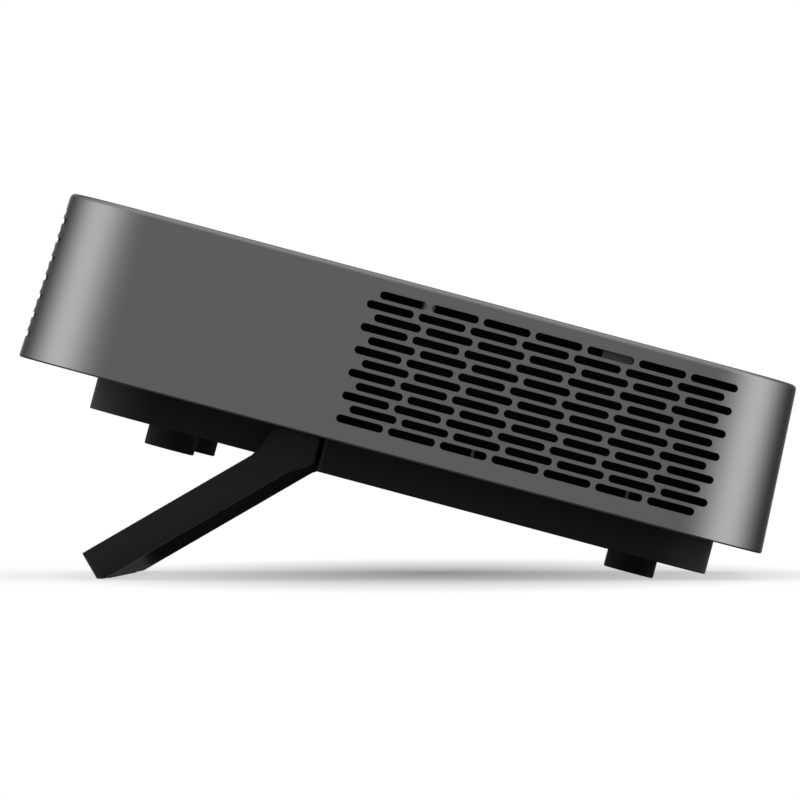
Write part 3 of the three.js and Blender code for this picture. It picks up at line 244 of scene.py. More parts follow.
def keepShape(made):
    # makes what the modifiers give the piece's own mesh
    bpy.context.view_layer.update()
    graph = bpy.context.evaluated_depsgraph_get()
    result = bpy.data.meshes.new_from_object(made.evaluated_get(graph))
    made.modifiers.clear()
    made.data = result


def shapeBy(made, other, operation="DIFFERENCE"):
    # cuts, joins or keeps what is common with another closed body
    modifier = made.modifiers.new("shape", "BOOLEAN")
    modifier.operation = operation
    modifier.solver = "MANIFOLD"
    modifier.object = other
    keepShape(made)
    bpy.data.objects.remove(other)
    setSmooth(made)
    return made


def keepFlat(made):
    # corner normals follow the larger face, so that a flat face stays even beside a round edge
    modifier = made.modifiers.new("flat faces", "WEIGHTED_NORMAL")
    modifier.keep_sharp = True
    return made


def softenEdges(made, width, segments=2):
    # a small bevel along every sharp edge, so that edges catch light
    modifier = made.modifiers.new("edges", "BEVEL")
    modifier.width = width * mm
    modifier.segments = segments
    modifier.limit_method = "ANGLE"
    modifier.angle_limit = smoothAngle
    modifier.harden_normals = True
    return made


# Materials
def setSocket(node, name, value):
    # the value of a socket that nothing is linked to
    node.inputs[name].default_value = value


def newMaterial(name, colour, roughness, metallic=0.0, specular=0.5, **extra):
    # a Principled surface; the colour is linear, and extra values go straight to its sockets
    material = bpy.data.materials.new(name)
    material.use_nodes = True
    surface = material.node_tree.nodes["Principled BSDF"]
    setSocket(surface, "Base Color", (*colour, 1))
    setSocket(surface, "Roughness", roughness)
    setSocket(surface, "Metallic", metallic)
    setSocket(surface, "Specular IOR Level", specular)
    for socket, value in extra.items():
        setSocket(surface, socket.replace("_", " "), value)
    return material


def bodyCoordinates(tree, scale):
    # object coordinates turned back by the tilt, so that they run along the projector, then scaled
    place = tree.nodes.new("ShaderNodeTexCoord")
    turn = tree.nodes.new("ShaderNodeMapping")
    setSocket(turn, "Rotation", (0, -tilt, 0))
    size = tree.nodes.new("ShaderNodeMapping")
    setSocket(size, "Scale", scale)
    tree.links.new(place.outputs["Object"], turn.inputs["Vector"])
    tree.links.new(turn.outputs["Vector"], size.inputs["Vector"])
    return size.outputs["Vector"]


def addNoise(tree, vector, detail):
    # noise over given coordinates, one cycle to each unit of them
    noise = tree.nodes.new("ShaderNodeTexNoise")
    setSocket(noise, "Scale", 1)
    setSocket(noise, "Detail", detail)
    tree.links.new(vector, noise.inputs["Vector"])
    return noise.outputs["Fac"]


def spread(tree, value, low, high):
    # a value from 0 to 1 laid between two limits
    turned = tree.nodes.new("ShaderNodeMapRange")
    setSocket(turned, "To Min", low)
    setSocket(turned, "To Max", high)
    tree.links.new(value, turned.inputs["Value"])
    return turned.outputs["Result"]


def mottle(material, scale, colourShare=0.0, roughShift=0.0, bump=0.0, detail=2.0):
    # Noise varies a finish: colour times 1 plus or minus a share, roughness plus or minus a
    # shift, and a bump height in metres.
    tree = material.node_tree
    surface = tree.nodes["Principled BSDF"]
    value = addNoise(tree, bodyCoordinates(tree, scale), detail)
    if colourShare:
        shade = tree.nodes.new("ShaderNodeMix")
        shade.data_type = "RGBA"
        shade.blend_type = "MULTIPLY"
        shade.inputs[0].default_value = 1  # its share; sockets 6 and 7 are its two colours
        shade.inputs[6].default_value = surface.inputs["Base Color"].default_value[:]
        tree.links.new(spread(tree, value, 1 - colourShare, 1 + colourShare), shade.inputs[7])
        tree.links.new(shade.outputs[2], surface.inputs["Base Color"])
    if roughShift:
        middle = surface.inputs["Roughness"].default_value
        shifted = spread(tree, value, middle - roughShift, middle + roughShift)
        tree.links.new(shifted, surface.inputs["Roughness"])
    if bump:
        raising = tree.nodes.new("ShaderNodeBump")
        setSocket(raising, "Strength", 1)
        setSocket(raising, "Distance", bump)
        tree.links.new(value, raising.inputs["Height"])
        tree.links.new(raising.outputs["Normal"], surface.inputs["Normal"])


# Finishes, one for each material slot of the record: name, colour, roughness, and what else
# differs from a plain plastic
finishes = {
    "band_metal": newMaterial(
        "band_metal", (0.08, 0.08, 0.08), 0.3, 1.0, Specular_Tint=(0.35, 0.35, 0.35, 1)
    ),
    "cover_plastic": newMaterial(
        "cover_plastic", (0.042, 0.042, 0.043), 0.45, 1.0, Specular_Tint=(0.15, 0.15, 0.15, 1)
    ),
    "panel_plastic": newMaterial("panel_plastic", (0.008, 0.008, 0.008), 0.4, specular=0.4),
    "base_plastic": newMaterial("base_plastic", (0.0033, 0.0033, 0.0033), 0.6, specular=0.06),
    "stand_plastic": newMaterial("stand_plastic", (0.0145, 0.0145, 0.0145), 0.7, specular=0.02),
    "rubber": newMaterial("rubber", (0.009, 0.009, 0.009), 0.7, specular=0.03),
    "gloss_panel": newMaterial("gloss_panel", (0.004, 0.004, 0.005), 0.15, specular=0.35),
    "lens_glass": newMaterial(
        "lens_glass", (0.8, 0.83, 0.88), 0.02, Transmission_Weight=1.0, IOR=1.5,
        Specular_Tint=(0.8, 0.78, 1.0, 1)
    ),
    "steel": newMaterial("steel", (0.45, 0.45, 0.46), 0.28, 1.0),
    "socket_steel": newMaterial("socket_steel", (0.55, 0.55, 0.56), 0.25, 1.0),
    "socket_plastic": newMaterial("socket_plastic", (0.012, 0.012, 0.012), 0.5),
    "brass": newMaterial("brass", (0.55, 0.38, 0.14), 0.3, 1.0),
    "aluminium": newMaterial("aluminium", (0.5, 0.5, 0.51), 0.35, 1.0),
    "copper": newMaterial("copper", (0.55, 0.25, 0.14), 0.3, 1.0),
    "circuit_board": newMaterial("circuit_board", (0.01, 0.07, 0.03), 0.45),
    "white_plastic": newMaterial("white_plastic", (0.55, 0.55, 0.53), 0.45),
    "cone": newMaterial("cone", (0.02, 0.02, 0.02), 0.8, specular=0.2),
    "inner_plastic": newMaterial("inner_plastic", (0.0012, 0.0012, 0.0012), 0.8, specular=0.05),
}

# The grain of the finishes: which ones, the noise's cycles per metre, and what it varies
plastics = ("cover_plastic", "panel_plastic", "base_plastic", "stand_plastic", "socket_plastic")
metals = ("steel", "socket_steel", "brass", "aluminium", "copper")
grains = (
    (("band_metal",), (6, 6, 3600), {"colourShare": 0.05, "roughShift": 0.02}),
    (plastics, (1500, 1500, 1500), {"roughShift": 0.05, "bump": 0.000004, "detail": 3}),
    (
        ("rubber", "cone", "inner_plastic"), (1500, 1500, 1500),
        {"colourShare": 0.2, "roughShift": 0.06, "detail": 3},
    ),
    (metals, (400, 400, 400), {"roughShift": 0.06}),
    (("circuit_board",), (300, 300, 300), {"colourShare": 0.25, "roughShift": 0.05}),
    (("white_plastic",), (200, 200, 200), {"colourShare": 0.02, "roughShift": 0.04}),
)
for names, scale, varied in grains:
    for name in names:
        mottle(finishes[name], scale, **varied)

nodeSlots = {entry["node"]: entry["material_slot"] for entry in frame["record"]["subparts"]}
nodeBodies = {
    node: body
    for body, nodes in frame["record"]["behaviour"]["bodies"].items()
    for node in nodes
}


def dress(made, node, slotName=None):
    # gives a piece its finish, and lets it stand for its CAD node and ride on that node's body
    slotName = slotName or nodeSlots[node]
    made.data.materials.clear()
    made.data.materials.append(finishes[slotName])
    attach(made, nodeBodies[node])
    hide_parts(node)
    return made


print("finishes made")

# Camera: a long lens level with the near side, turned a little to the left
view = {"place": (0.0683, -2.4377, 0.0324), "along": (-0.02991, 1, 0.00843), "lens": 363.6}
cameraData = bpy.data.cameras.new("camera")
cameraData.lens = view["lens"]
cameraData.sensor_width = 36
cameraData.clip_end = 20
camera = bpy.data.objects.new("camera", cameraData)
camera.location = view["place"]
camera.rotation_euler = Vector(view["along"]).to_track_quat("-Z", "Y").to_euler()
bpy.context.scene.collection.objects.link(camera)
bpy.context.scene.camera = camera
bpy.context.scene.view_settings.view_transform = "Standard"

# Light: an even white dome. What metal and gloss mirror of it is brighter to both sides and
# overhead, as large soft panels there would be, and darker below the horizon, as the floor is:
# dome * kept + sideGain * nearness ^ sidePower + topGain * z, where kept = 1 + floorFade * z
# between floorLeast and 1, and nearness = |x| sin(sideAngle) - y cos(sideAngle). Nothing in it
# is below 0.
light = {
    "dome": 1.0,
    "sideAngle": 72 * degree,
    "sideGain": 6.0,
    "sidePower": 5.5,
    "topGain": 2.2,
    "floorFade": 2.0,
    "floorLeast": 0.3,
}


def addMath(tree, operation, *values):
    # a Math node over numbers and sockets
    node = tree.nodes.new("ShaderNodeMath")
    node.operation = operation
    for index, value in enumerate(values):
        if isinstance(value, (int, float)):
            node.inputs[index].default_value = value
        else:
            tree.links.new(value, node.inputs[index])
    return node.outputs[0]


def makeWorld():
    # the formula above, one Math node for each step of it
    world = bpy.data.worlds.new("world")
    bpy.context.scene.world = world
    world.use_nodes = True
    tree = world.node_tree
    sky = tree.nodes["Background"]
    place = tree.nodes.new("ShaderNodeTexCoord")
    axes = tree.nodes.new("ShaderNodeSeparateXYZ")
    tree.links.new(place.outputs["Generated"], axes.inputs[0])
    x, y, z = (axes.outputs[axis] for axis in "XYZ")
    sine, cosine = math.sin(light["sideAngle"]), math.cos(light["sideAngle"])
    across = addMath(tree, "MULTIPLY", addMath(tree, "ABSOLUTE", x), sine)
    toward = addMath(tree, "MULTIPLY", y, -cosine)
    nearness = addMath(tree, "MAXIMUM", addMath(tree, "ADD", across, toward), 0)
    sides = addMath(
        tree, "MULTIPLY", addMath(tree, "POWER", nearness, light["sidePower"]), light["sideGain"]
    )
    top = addMath(tree, "MULTIPLY", addMath(tree, "MAXIMUM", z, 0), light["topGain"])
    faded = addMath(tree, "ADD", addMath(tree, "MULTIPLY", z, light["floorFade"]), 1)
    kept = addMath(tree, "MINIMUM", addMath(tree, "MAXIMUM", faded, light["floorLeast"]), 1)
    lost = addMath(tree, "MULTIPLY", addMath(tree, "SUBTRACT", kept, 1), light["dome"])
    mirrored = addMath(tree, "ADD", addMath(tree, "ADD", sides, top), lost)
    rays = tree.nodes.new("ShaderNodeLightPath")
    gain = addMath(tree, "MULTIPLY", mirrored, rays.outputs["Is Glossy Ray"])
    tree.links.new(addMath(tree, "ADD", gain, light["dome"]), sky.inputs["Strength"])
    setSocket(sky, "Color", (1, 1, 1, 1))


makeWorld()

# Floor: a wide white plane. To the camera part of its light is its own, which softens the shadow
# on it, and a painted shadow darkens its colour round the projector by depth * (1 - distance)
# within an ellipse.
ground = {
    "reach": 3,
    "ownLight": 0.7,
    # shade is a painted shadow: its centre and radii on the floor in metres, and its darkening at
    # the middle
    "shade": {"centre": (0.005, 0.06), "radii": (0.118, 0.42), "depth": 0.62},
}


def makeFloorFinish():
    # a rough surface mixed with light of its own, both of the colour that the painted shadow
    # darkens
    material = newMaterial("floor", (1, 1, 1), 0.9, specular=0.0)
    tree = material.node_tree
    surface = tree.nodes["Principled BSDF"]
    shade = ground["shade"]
    place = tree.nodes.new("ShaderNodeTexCoord")
    fit = tree.nodes.new("ShaderNodeMapping")
    centre, radii = np.array(shade["centre"]), np.array(shade["radii"])
    setSocket(fit, "Location", (*(-centre / radii), 0))
    setSocket(fit, "Scale", (*(1 / radii), 1))
    tree.links.new(place.outputs["Object"], fit.inputs["Vector"])
    nearness = tree.nodes.new("ShaderNodeTexGradient")
    nearness.gradient_type = "SPHERICAL"
    tree.links.new(fit.outputs["Vector"], nearness.inputs["Vector"])
    # the painted shadow: the colour falls from 1 at the ellipse's edge to 1 - depth at its middle
    colour = spread(tree, nearness.outputs["Fac"], 1, 1 - shade["depth"])
    tree.links.new(colour, surface.inputs["Base Color"])
    own = tree.nodes.new("ShaderNodeEmission")
    tree.links.new(colour, own.inputs["Color"])
    rays = tree.nodes.new("ShaderNodeLightPath")
    ownShare = addMath(tree, "MULTIPLY", rays.outputs["Is Camera Ray"], ground["ownLight"])
    mixed = tree.nodes.new("ShaderNodeMixShader")
    tree.links.new(ownShare, mixed.inputs[0])
    tree.links.new(surface.outputs[0], mixed.inputs[1])
    tree.links.new(own.outputs[0], mixed.inputs[2])
    tree.links.new(mixed.outputs[0], tree.nodes["Material Output"].inputs["Surface"])
    return material


reach = ground["reach"]
floorCorners = [(-reach, -reach, 0), (reach, -reach, 0), (reach, reach, 0), (-reach, reach, 0)]
floorMesh = bpy.data.meshes.new("floor")
floorMesh.from_pydata(floorCorners, [], [(0, 1, 2, 3)])
floor = bpy.data.objects.new("floor", floorMesh)
floor.data.materials.append(makeFloorFinish())
floor.visible_glossy = False
bpy.context.scene.collection.objects.link(floor)
print("camera, light and floor made")

# Metal band: a square tube of rounded corners that leans in by its draft as it rises. Wall point
# = centre + (radius - height * tan(draft) - inset) * direction.
band = {
    "width": 224,
    "height": 50,
    "wall": 2,
    "draft": 3 * degree,
    "cornerRadius": 28,
    "cornerSteps": 32,
    "topRound": 1.35,
    "footBevel": 0.45,
    "ledgeWidth": 2.5,
    "ledgeTop": 47.9,
    "ledgeBottom": 46.3,
    "cutDepth": 14,
    "normalReach": 5 * degree,
}
sideGrille = {
    "columns": 7,
    "rows": 12,
    "slot": (14, 2.35),
    "pitch": 15.44,
    "rowPitch": 3.41,
    "stagger": -3.07,
    "start": -13.8,
    "topRow": 44.2,
}
frontGrille = {
    "columns": 7,
    "rows": 14,
    "slot": (14, 1.5),
    "pitch": 15.44,
    "rowPitch": 2.86,
    "stagger": -4.5,
    "start": -89,
    "topRow": 44.2,
}
lensPanel = {
    "centreY": 50,
    "width": 58,
    "heights": (7, 41),
    "cornerRadius": 6,
    "thickness": 3,
    "lipWidth": 2.5,
    "lipThickness": 1.6,
    "edge": 0.5,
}
portPanel = {
    "centreY": 0,
    "width": 118,
    "heights": (6, 30),
    "cornerRadius": 5,
    "lip": 3,
}
bandHalf = band["width"] / 2


def bandPlan():
    # the band's outline at its foot: a square with round corners
    square = centred(0, band["width"])
    return outlineOf(square, square, band["cornerRadius"], band["cornerSteps"])


def leaned(profile):
    # the wall's draft moves each (inset, height) of a profile further in
    return [(inset + height * math.tan(band["draft"]), height) for inset, height in profile]


def slotCentres(grille):
    # every second row is shifted along the wall by the stagger
    row, column = np.meshgrid(
        np.arange(grille["rows"]), np.arange(grille["columns"]), indexing="ij"
    )
    first = grille["start"] + grille["slot"][0] / 2
    along = first + (row % 2) * grille["stagger"] + column * grille["pitch"]
    height = grille["topRow"] - row * grille["rowPitch"]
    return np.stack([along, height], -1).reshape(-1, 2)


def panelOutline(panel):
    # an upright round-cornered rectangle in (y, z)
    sides = centred(panel["centreY"], panel["width"])
    return outlineOf(sides, panel["heights"], panel["cornerRadius"], 12)


def wallNormals(made):
    # The wall's normals follow its formula: out from the corner centres in plan, and up by the
    # draft. Corners of faces that point another way keep the shading that they have.
    mesh = made.data
    corners = np.empty(len(mesh.vertices) * 3)
    mesh.vertices.foreach_get("co", corners)
    plan = fromBody(corners.reshape(-1, 3))
    straight = bandHalf - band["cornerRadius"]
    out = plan[:, :2] - np.clip(plan[:, :2], -straight, straight)
    out /= np.maximum(np.linalg.norm(out, axis=1, keepdims=True), 1e-9)
    rise = np.full((len(plan), 1), math.sin(band["draft"]))
    wall = np.concatenate([out * math.cos(band["draft"]), rise], -1) @ bodyTurn.T
    loopVertex = np.empty(len(mesh.loops), dtype=int)
    mesh.loops.foreach_get("vertex_index", loopVertex)
    totals = np.empty(len(mesh.polygons), dtype=int)
    mesh.polygons.foreach_get("loop_total", totals)
    faceNormals = np.empty(len(mesh.polygons) * 3)
    mesh.polygons.foreach_get("normal", faceNormals)
    loopFace = np.repeat(faceNormals.reshape(-1, 3), totals, axis=0)
    wanted = wall[loopVertex]
    along = (loopFace * wanted).sum(1)
    near = math.cos(band["normalReach"])
    normals = np.where((np.abs(along) > near)[:, None], np.sign(along)[:, None] * wanted, 0)
    mesh.normals_split_custom_set(normals.tolist())


def makeBand():
    # the leaned wall profile carried round the plan, with slots and openings cut through
    wall, top, ledge = band["wall"], band["height"], band["wall"] + band["ledgeWidth"]
    profile = [
        (band["footBevel"], 0),
        (0, band["footBevel"]),
        *roundedFinish(top, band["topRound"], 5),
        (wall, top),
        (wall, band["ledgeTop"]),
        (ledge, band["ledgeTop"]),
        (ledge, band["ledgeBottom"]),
        (wall, band["ledgeBottom"] - band["ledgeWidth"]),
        (wall, 0),
    ]
    made = outlineBody("band", bandPlan(), leaned(profile), looped=True)
    inner = bandHalf - band["cutDepth"]
    outer = bandHalf + past
    upright = stadium(*sideGrille["slot"])[:, ::-1]
    places = slotCentres(sideGrille)[:, ::-1]
    for low, high in bothSides(inner, outer):
        shapeBy(made, prismCopies("slots", upright, places, low, high, "y"))
    slot, places = stadium(*frontGrille["slot"]), slotCentres(frontGrille)
    shapeBy(made, prismCopies("slots", slot, places, -outer, -inner, "x"))
    for panel, (low, high) in zip((lensPanel, portPanel), bothSides(inner, outer)):
        shapeBy(made, outlineBody("opening", panelOutline(panel), [(0, low), (0, high)], "x"))
    wallNormals(made)
    return dress(made, "band_shell")


makeBand()
print("band made")

# Top cover: a plate inside the wall with screw pillars, board hangers and, by each fan, a boss and
# a clip below it. Each place is (x, y, lower end).
cover = {
    "gap": 0.3,
    "thickness": 1.8,
    "edge": 0.4,
    "pillarRadius": 3.2,
    "frontPillars": (-62, 83, -4.9),
    "rearPillars": (86, 80, -5.5),
    "hangers": (16, 22, 45.5),
    "hangerRadius": 2,
    "clipBoss": (0.6, 102.09, 42.2),
    "clipBossRadius": 2.6,
    "clipTab": (57, 103.99, 42.9),
    "clipTabSize": (9, 1.4),
}
keypad = {
    "centreX": 66,
    "arrowSpacing": 13,
    "sideSpacing": 34,
    "keyRadius": 4.6,
    "okRadius": 6,
    "proud": 0.4,
    "edge": 0.35,
    "dish": 0.25,
    "flange": (1, 0.9),
    "stem": (1.6, 1),
}
keyPlaces = {
    "power_button": (keypad["centreX"], -keypad["sideSpacing"], keypad["keyRadius"]),
    "back_button": (keypad["centreX"], keypad["sideSpacing"], keypad["keyRadius"]),
    "up_button": (keypad["centreX"] - keypad["arrowSpacing"], 0, keypad["keyRadius"]),
    "down_button": (keypad["centreX"] + keypad["arrowSpacing"], 0, keypad["keyRadius"]),
    "left_button": (keypad["centreX"], -keypad["arrowSpacing"], keypad["keyRadius"]),
    "right_button": (keypad["centreX"], keypad["arrowSpacing"], keypad["keyRadius"]),
    "ok_button": (keypad["centreX"], 0, keypad["okRadius"]),
}
coverBottom = band["height"] - cover["thickness"]


def bothPlaces(x, y):
    # a place and its mirror image across the middle line
    return [(x, -y), (x, y)]


def fourAbout(centreX, spanX, spanY):
    # four places, at both spans to either side of a point on the middle line
    return bothPlaces(centreX - spanX, spanY) + bothPlaces(centreX + spanX, spanY)


def bandPlate(name, low, rim):
    # a plate that follows the wall's inner face, up to a rim of (inset, height)
    inset = band["wall"] + cover["gap"]
    profile = [(inset, low), *[(inset + gained, height) for gained, height in rim]]
    return outlineBody(name, bandPlan(), leaned(profile))


def addRods(made, radius, places, low, high, operation="UNION", sides=32):
    # upright round posts, or with DIFFERENCE round holes, at every place
    rods = prismCopies("rods", roundOutline(radius, sides), places, low, high, "z")
    return shapeBy(made, rods, operation)


def boreRods(made, radius, places, low, high, sides=32):
    # round holes instead of posts
    return addRods(made, radius, places, low, high, "DIFFERENCE", sides)


def makeCover():
    # the plate with its posts and clips joined on below, and a round hole for every key
    top = band["height"]
    made = bandPlate("topCover", coverBottom, roundedFinish(top, cover["edge"]))
    root = coverBottom + cover["thickness"] / 2
    for x, y, low in (cover["frontPillars"], cover["rearPillars"]):
        addRods(made, cover["pillarRadius"], bothPlaces(x, y), low, root)
    x, y, low = cover["hangers"]
    addRods(made, cover["hangerRadius"], fourAbout(keypad["centreX"], x, y), low, root)
    x, y, low = cover["clipBoss"]
    addRods(made, cover["clipBossRadius"], bothPlaces(x, y), low, root)
    x, y, low = cover["clipTab"]
    length, width = cover["clipTabSize"]
    for ys in bothSides(y - width / 2, y + width / 2):
        shapeBy(made, boxBody("clip", centred(x, length), ys, (low, root)), "UNION")
    for x, y, radius in keyPlaces.values():
        boreRods(made, radius + cover["gap"], [(x, y)], coverBottom - past, top + past, 64)
    return dress(keepFlat(made), "top_cover")


def makeKey(node):
    # a turned key: a stem, a flange that the cover holds, and a dished top with a round edge
    x, y, radius = keyPlaces[node]
    flangeTop = coverBottom - cover["gap"]
    flangeWidth, flangeThickness = keypad["flange"]
    flangeBottom = flangeTop - flangeThickness
    stemRadius, stemLength = keypad["stem"]
    top = band["height"] + keypad["proud"]
    edge = keypad["edge"]
    share = np.linspace(0.85, 0.02, 6)  # the dish: depth * (1 - share ^ 2) below the rim
    dish = zip((radius - edge) * share, top - keypad["dish"] * (1 - share ** 2))
    profile = [
        (stemRadius, flangeBottom - stemLength),
        (stemRadius, flangeBottom),
        (radius + flangeWidth, flangeBottom),
        (radius + flangeWidth, flangeTop),
        (radius, flangeTop),
        *turnedRim(radius, roundedFinish(top, edge, 4)),
        *dish,
    ]
    return dress(turnedBody(node, profile, (x, y, 0)), node)


makeCover()
for node in keyPlaces:
    makeKey(node)
print("cover and keys made")

# Base: a plate inside the wall and a plinth below it, which is narrower in front of its step.
# Wells open it from above, and posts, screw seats and bosses stand in it.
base = {
    "flange": (0.3, 2.3),
    "front": -89.1,
    "step": -19.0,
    "rear": 97.7,
    "frontWidth": 180,
    "rearWidth": 193,
    "frontBottom": -9.4,
    "rearBottom": -10,
    "wall": 2,
    "floorTop": -8,
    "edge": 0.3,
    "cornerRadius": 20,
    "stepRadius": 1.2,
    "postRadius": 3,
    "screwHoleRadius": 3,
    "screwSeatRadius": 4.6,
    "shankRadius": 1.3,
    "shankLength": 9,
    "tripodHoleRadius": 5.3,
    "tripodBossRadius": 7.3,
    "tripodDepth": 8.3,
    "pin": (-26.2, -4.8),
    "pinRadius": 1.8,
    "pinBossRadius": 3.7,
    "pinBoss": (83, 90),
    "standRoom": ((-39.5, -18.7), (90.1, 97), (-0.5, 4.4)),
    "studHoleRadius": 2.8,
}
# posts as (places, top): below the light engine, the main board and the heat sink
basePosts = (
    ([(-48, 25), (-48, 77), (2, 25), (2, 77)], -5.3),
    ([(40, -45), (40, 51), (94, -45), (94, 51)], 5.7),
    ([(33, -81), (33, -63), (61, -81), (61, -63)], 2.3),
)
motorPost = ((-86.7, -78), (16.6, 27.6), (-9, 15.7))
ductRibs = {
    "places": (23.7, 69.8),
    "thickness": 0.9,
    "sides": (98.7, 106.7),
    "heights": (0.3, 8.8),
}
# screws as (x, y, underside, head's top, seat's top)
screwPlaces = {
    "front": (-62, 83, -9.4, -7.5, -5.2),
    "rear": (86, 80, -10, -8.1, -5.8),
}
feet = {
    "frontX": -64.2,
    "rearX": 75.9,
    "y": 58,
    "radius": 7.5,
    "depth": 15.4,
    "edge": 0.5,
    "studRadius": 2.5,
}


def plinthBlock(name, xs, width, radii, profile):
    # a round-cornered plan carried up through a profile of (inset, height)
    return outlineBody(name, outlineOf(xs, centred(0, width), radii, 16), profile)


def insideRadii(radii):
    # a well's corner radii: those outside less the wall
    return [max(radius - base["wall"], sharp) for radius in radii]


def makePlinth():
    # the flange with both blocks of the plinth below it, hollowed from above
    front, step, rear, wall = base["front"], base["step"], base["rear"], base["wall"]
    corner, small, edge = base["cornerRadius"], base["stepRadius"], base["edge"]
    frontWidth, rearWidth = base["frontWidth"], base["rearWidth"]
    frontRadii = (sharp, corner, corner, sharp)
    rearRadii = (corner, small, small, corner)
    frontLow, rearLow = base["frontBottom"], base["rearBottom"]
    low, high = base["flange"]
    overlap = step + wall + small
    made = bandPlate("baseShell", low, [(0, high)])
    block = [(0, frontLow), (0, high)]
    shapeBy(made, plinthBlock("front", (front, overlap), frontWidth, frontRadii, block), "UNION")
    block = [(edge, rearLow), (0, rearLow + edge), (0, high)]
    shapeBy(made, plinthBlock("rear", (step, rear), rearWidth, rearRadii, block), "UNION")
    well = [(0, base["floorTop"]), (0, high + past)]
    inner, xs = insideRadii(frontRadii), (front + wall, overlap)
    shapeBy(made, plinthBlock("well", xs, frontWidth - 2 * wall, inner, well))
    inner, xs = insideRadii(rearRadii), (step + wall, rear - wall)
    shapeBy(made, plinthBlock("well", xs, rearWidth - 2 * wall, inner, well))
    return made


def shapeAtPins(made, name, radius, inner, outer, operation):
    # round bodies across the width, about the stand's pins
    pinX, pinZ = base["pin"]
    for depths in bothSides(inner, outer):
        rods = prismCopies(name, roundOutline(radius), [(pinZ, pinX)], *depths, "y")
        shapeBy(made, rods, operation)


def makeBase():
    # the plinth with its rooms, posts, bosses, seats and holes joined or cut in turn
    made = makePlinth()
    xs, ys, zs = base["standRoom"]
    for span in bothSides(*ys):
        shapeBy(made, boxBody("room", xs, span, zs))
    rooted = base["floorTop"] - base["wall"] / 2
    for places, top in basePosts:
        addRods(made, base["postRadius"], places, rooted, top)
    shapeBy(made, boxBody("motorPost", *motorPost), "UNION")
    low = base["rearBottom"]
    tripod = [(tripodPlace[0], 0)]
    tripodTop = low + base["tripodDepth"]
    addRods(made, base["tripodBossRadius"], tripod, low, tripodTop + base["wall"])
    inside, outside = base["pinBoss"]
    shapeAtPins(made, "boss", base["pinBossRadius"], inside, outside, "UNION")
    for x, y, underside, headTop, seatTop in screwPlaces.values():
        places, headRoom = bothPlaces(x, y), headTop + cover["gap"]
        addRods(made, base["screwSeatRadius"], places, underside, seatTop)
        boreRods(made, base["screwHoleRadius"], places, underside - past, headRoom)
        boreRods(made, base["shankRadius"], places, underside, underside + base["shankLength"])
    middle, span = (feet["rearX"] + feet["frontX"]) / 2, (feet["rearX"] - feet["frontX"]) / 2
    places = fourAbout(middle, span, feet["y"])
    boreRods(made, base["studHoleRadius"], places, low - past, base["floorTop"] + past)
    boreRods(made, base["tripodHoleRadius"], tripod, low - past, tripodTop, 48)
    hole = base["pinRadius"] + cover["gap"]
    shapeAtPins(made, "hole", hole, inside - past, outside + past, "DIFFERENCE")
    return dress(made, "base_shell")


def makeDuctRibs():
    # the upright ribs by the fans, seen through the lowest slots, are paler than the base
    inner, outer = ductRibs["sides"]
    half = np.array([ductRibs["thickness"] / 2, (outer - inner) / 2])
    outline = half * [(-1, -1), (1, -1), (1, 1), (-1, 1)]
    places = [place for x in ductRibs["places"] for place in bothPlaces(x, (inner + outer) / 2)]
    made = prismCopies("ductRibs", outline, places, *ductRibs["heights"], "z")
    return dress(made, "base_shell", "cover_plastic")


def makeFoot(node, x, y, top):
    # a turned rubber foot with a round lower edge and a stud up into the plinth
    shoulder = top - cover["gap"]
    profile = [
        *turnedRim(feet["radius"], roundedStart(-feet["depth"], feet["edge"], 4)),
        (feet["radius"], shoulder),
        (feet["studRadius"], shoulder),
        (feet["studRadius"], base["floorTop"]),
    ]
    return dress(turnedBody(node, profile, (x, y, 0), sides=96), node)


makeBase()
makeDuctRibs()
for end, x, top in (
    ("front", feet["frontX"], base["frontBottom"]),
    ("rear", feet["rearX"], base["rearBottom"]),
):
    for side, sign in (("near", -1), ("far", 1)):
        makeFoot(f"foot_{end}_{side}", x, sign * feet["y"], top)
print("base and feet made")

# Kick stand, drawn closed about its hinge axis and then turned down: x runs back from the tip,
# and z up
stand = {
    "angle": -45 * degree,
    "reach": 69.6,
    "width": 193,
    "height": 9.5,
    "armThickness": 6,
    "barThickness": 5.8,
    "tipRadius": 4,
    "innerRadius": 20.3,
    "rootPoints": 25,
    "edge": 0.45,
    "floorRise": 0.75,
    "floorSlope": 30.075 * degree,
    "padLength": 120,
    "padDepth": 2.4,
    "padTop": 0,
    "padEdge": 0.2,
    "pinReach": 4.5,
    "ears": [
        (-12.1, -5.4), (-9.6, -0.8), (-7.9, 4.1), (-7.4, 4.4), (5.2, 4.4), (5.9, 3.7),
        (5.9, -2.9), (5.3, -3.7), (3, -5.3), (-1, -7.9), (-6, -9.3),
    ],
}
standHalf = stand["height"] / 2


def inStand(points):
    # body point = turned stand point + hinge
    hinge = np.array([base["pin"][0], 0, base["pin"][1]])
    return inBody(np.asarray(points) @ turnAboutY(stand["angle"]).T + hinge)


def standPrism(name, section, depths):
    # a prism across the width from a section in (x, z)
    return prismCopies(name, [(z, x) for x, z in section], [(0, 0)], *depths, "y", inStand)


def floorWedge(gap, width):
    # the lower front corner that is cut away so that the bar lies flat on the floor
    rise = stand["floorRise"] + gap
    slope = math.tan(stand["floorSlope"])
    x, z = -stand["reach"], -standHalf
    return standPrism("wedge", [
        (x - past, z - past),
        (x + (rise + past) / slope, z - past),
        (x - past, z + rise + past * slope),
    ], centred(0, width + 2 * past))


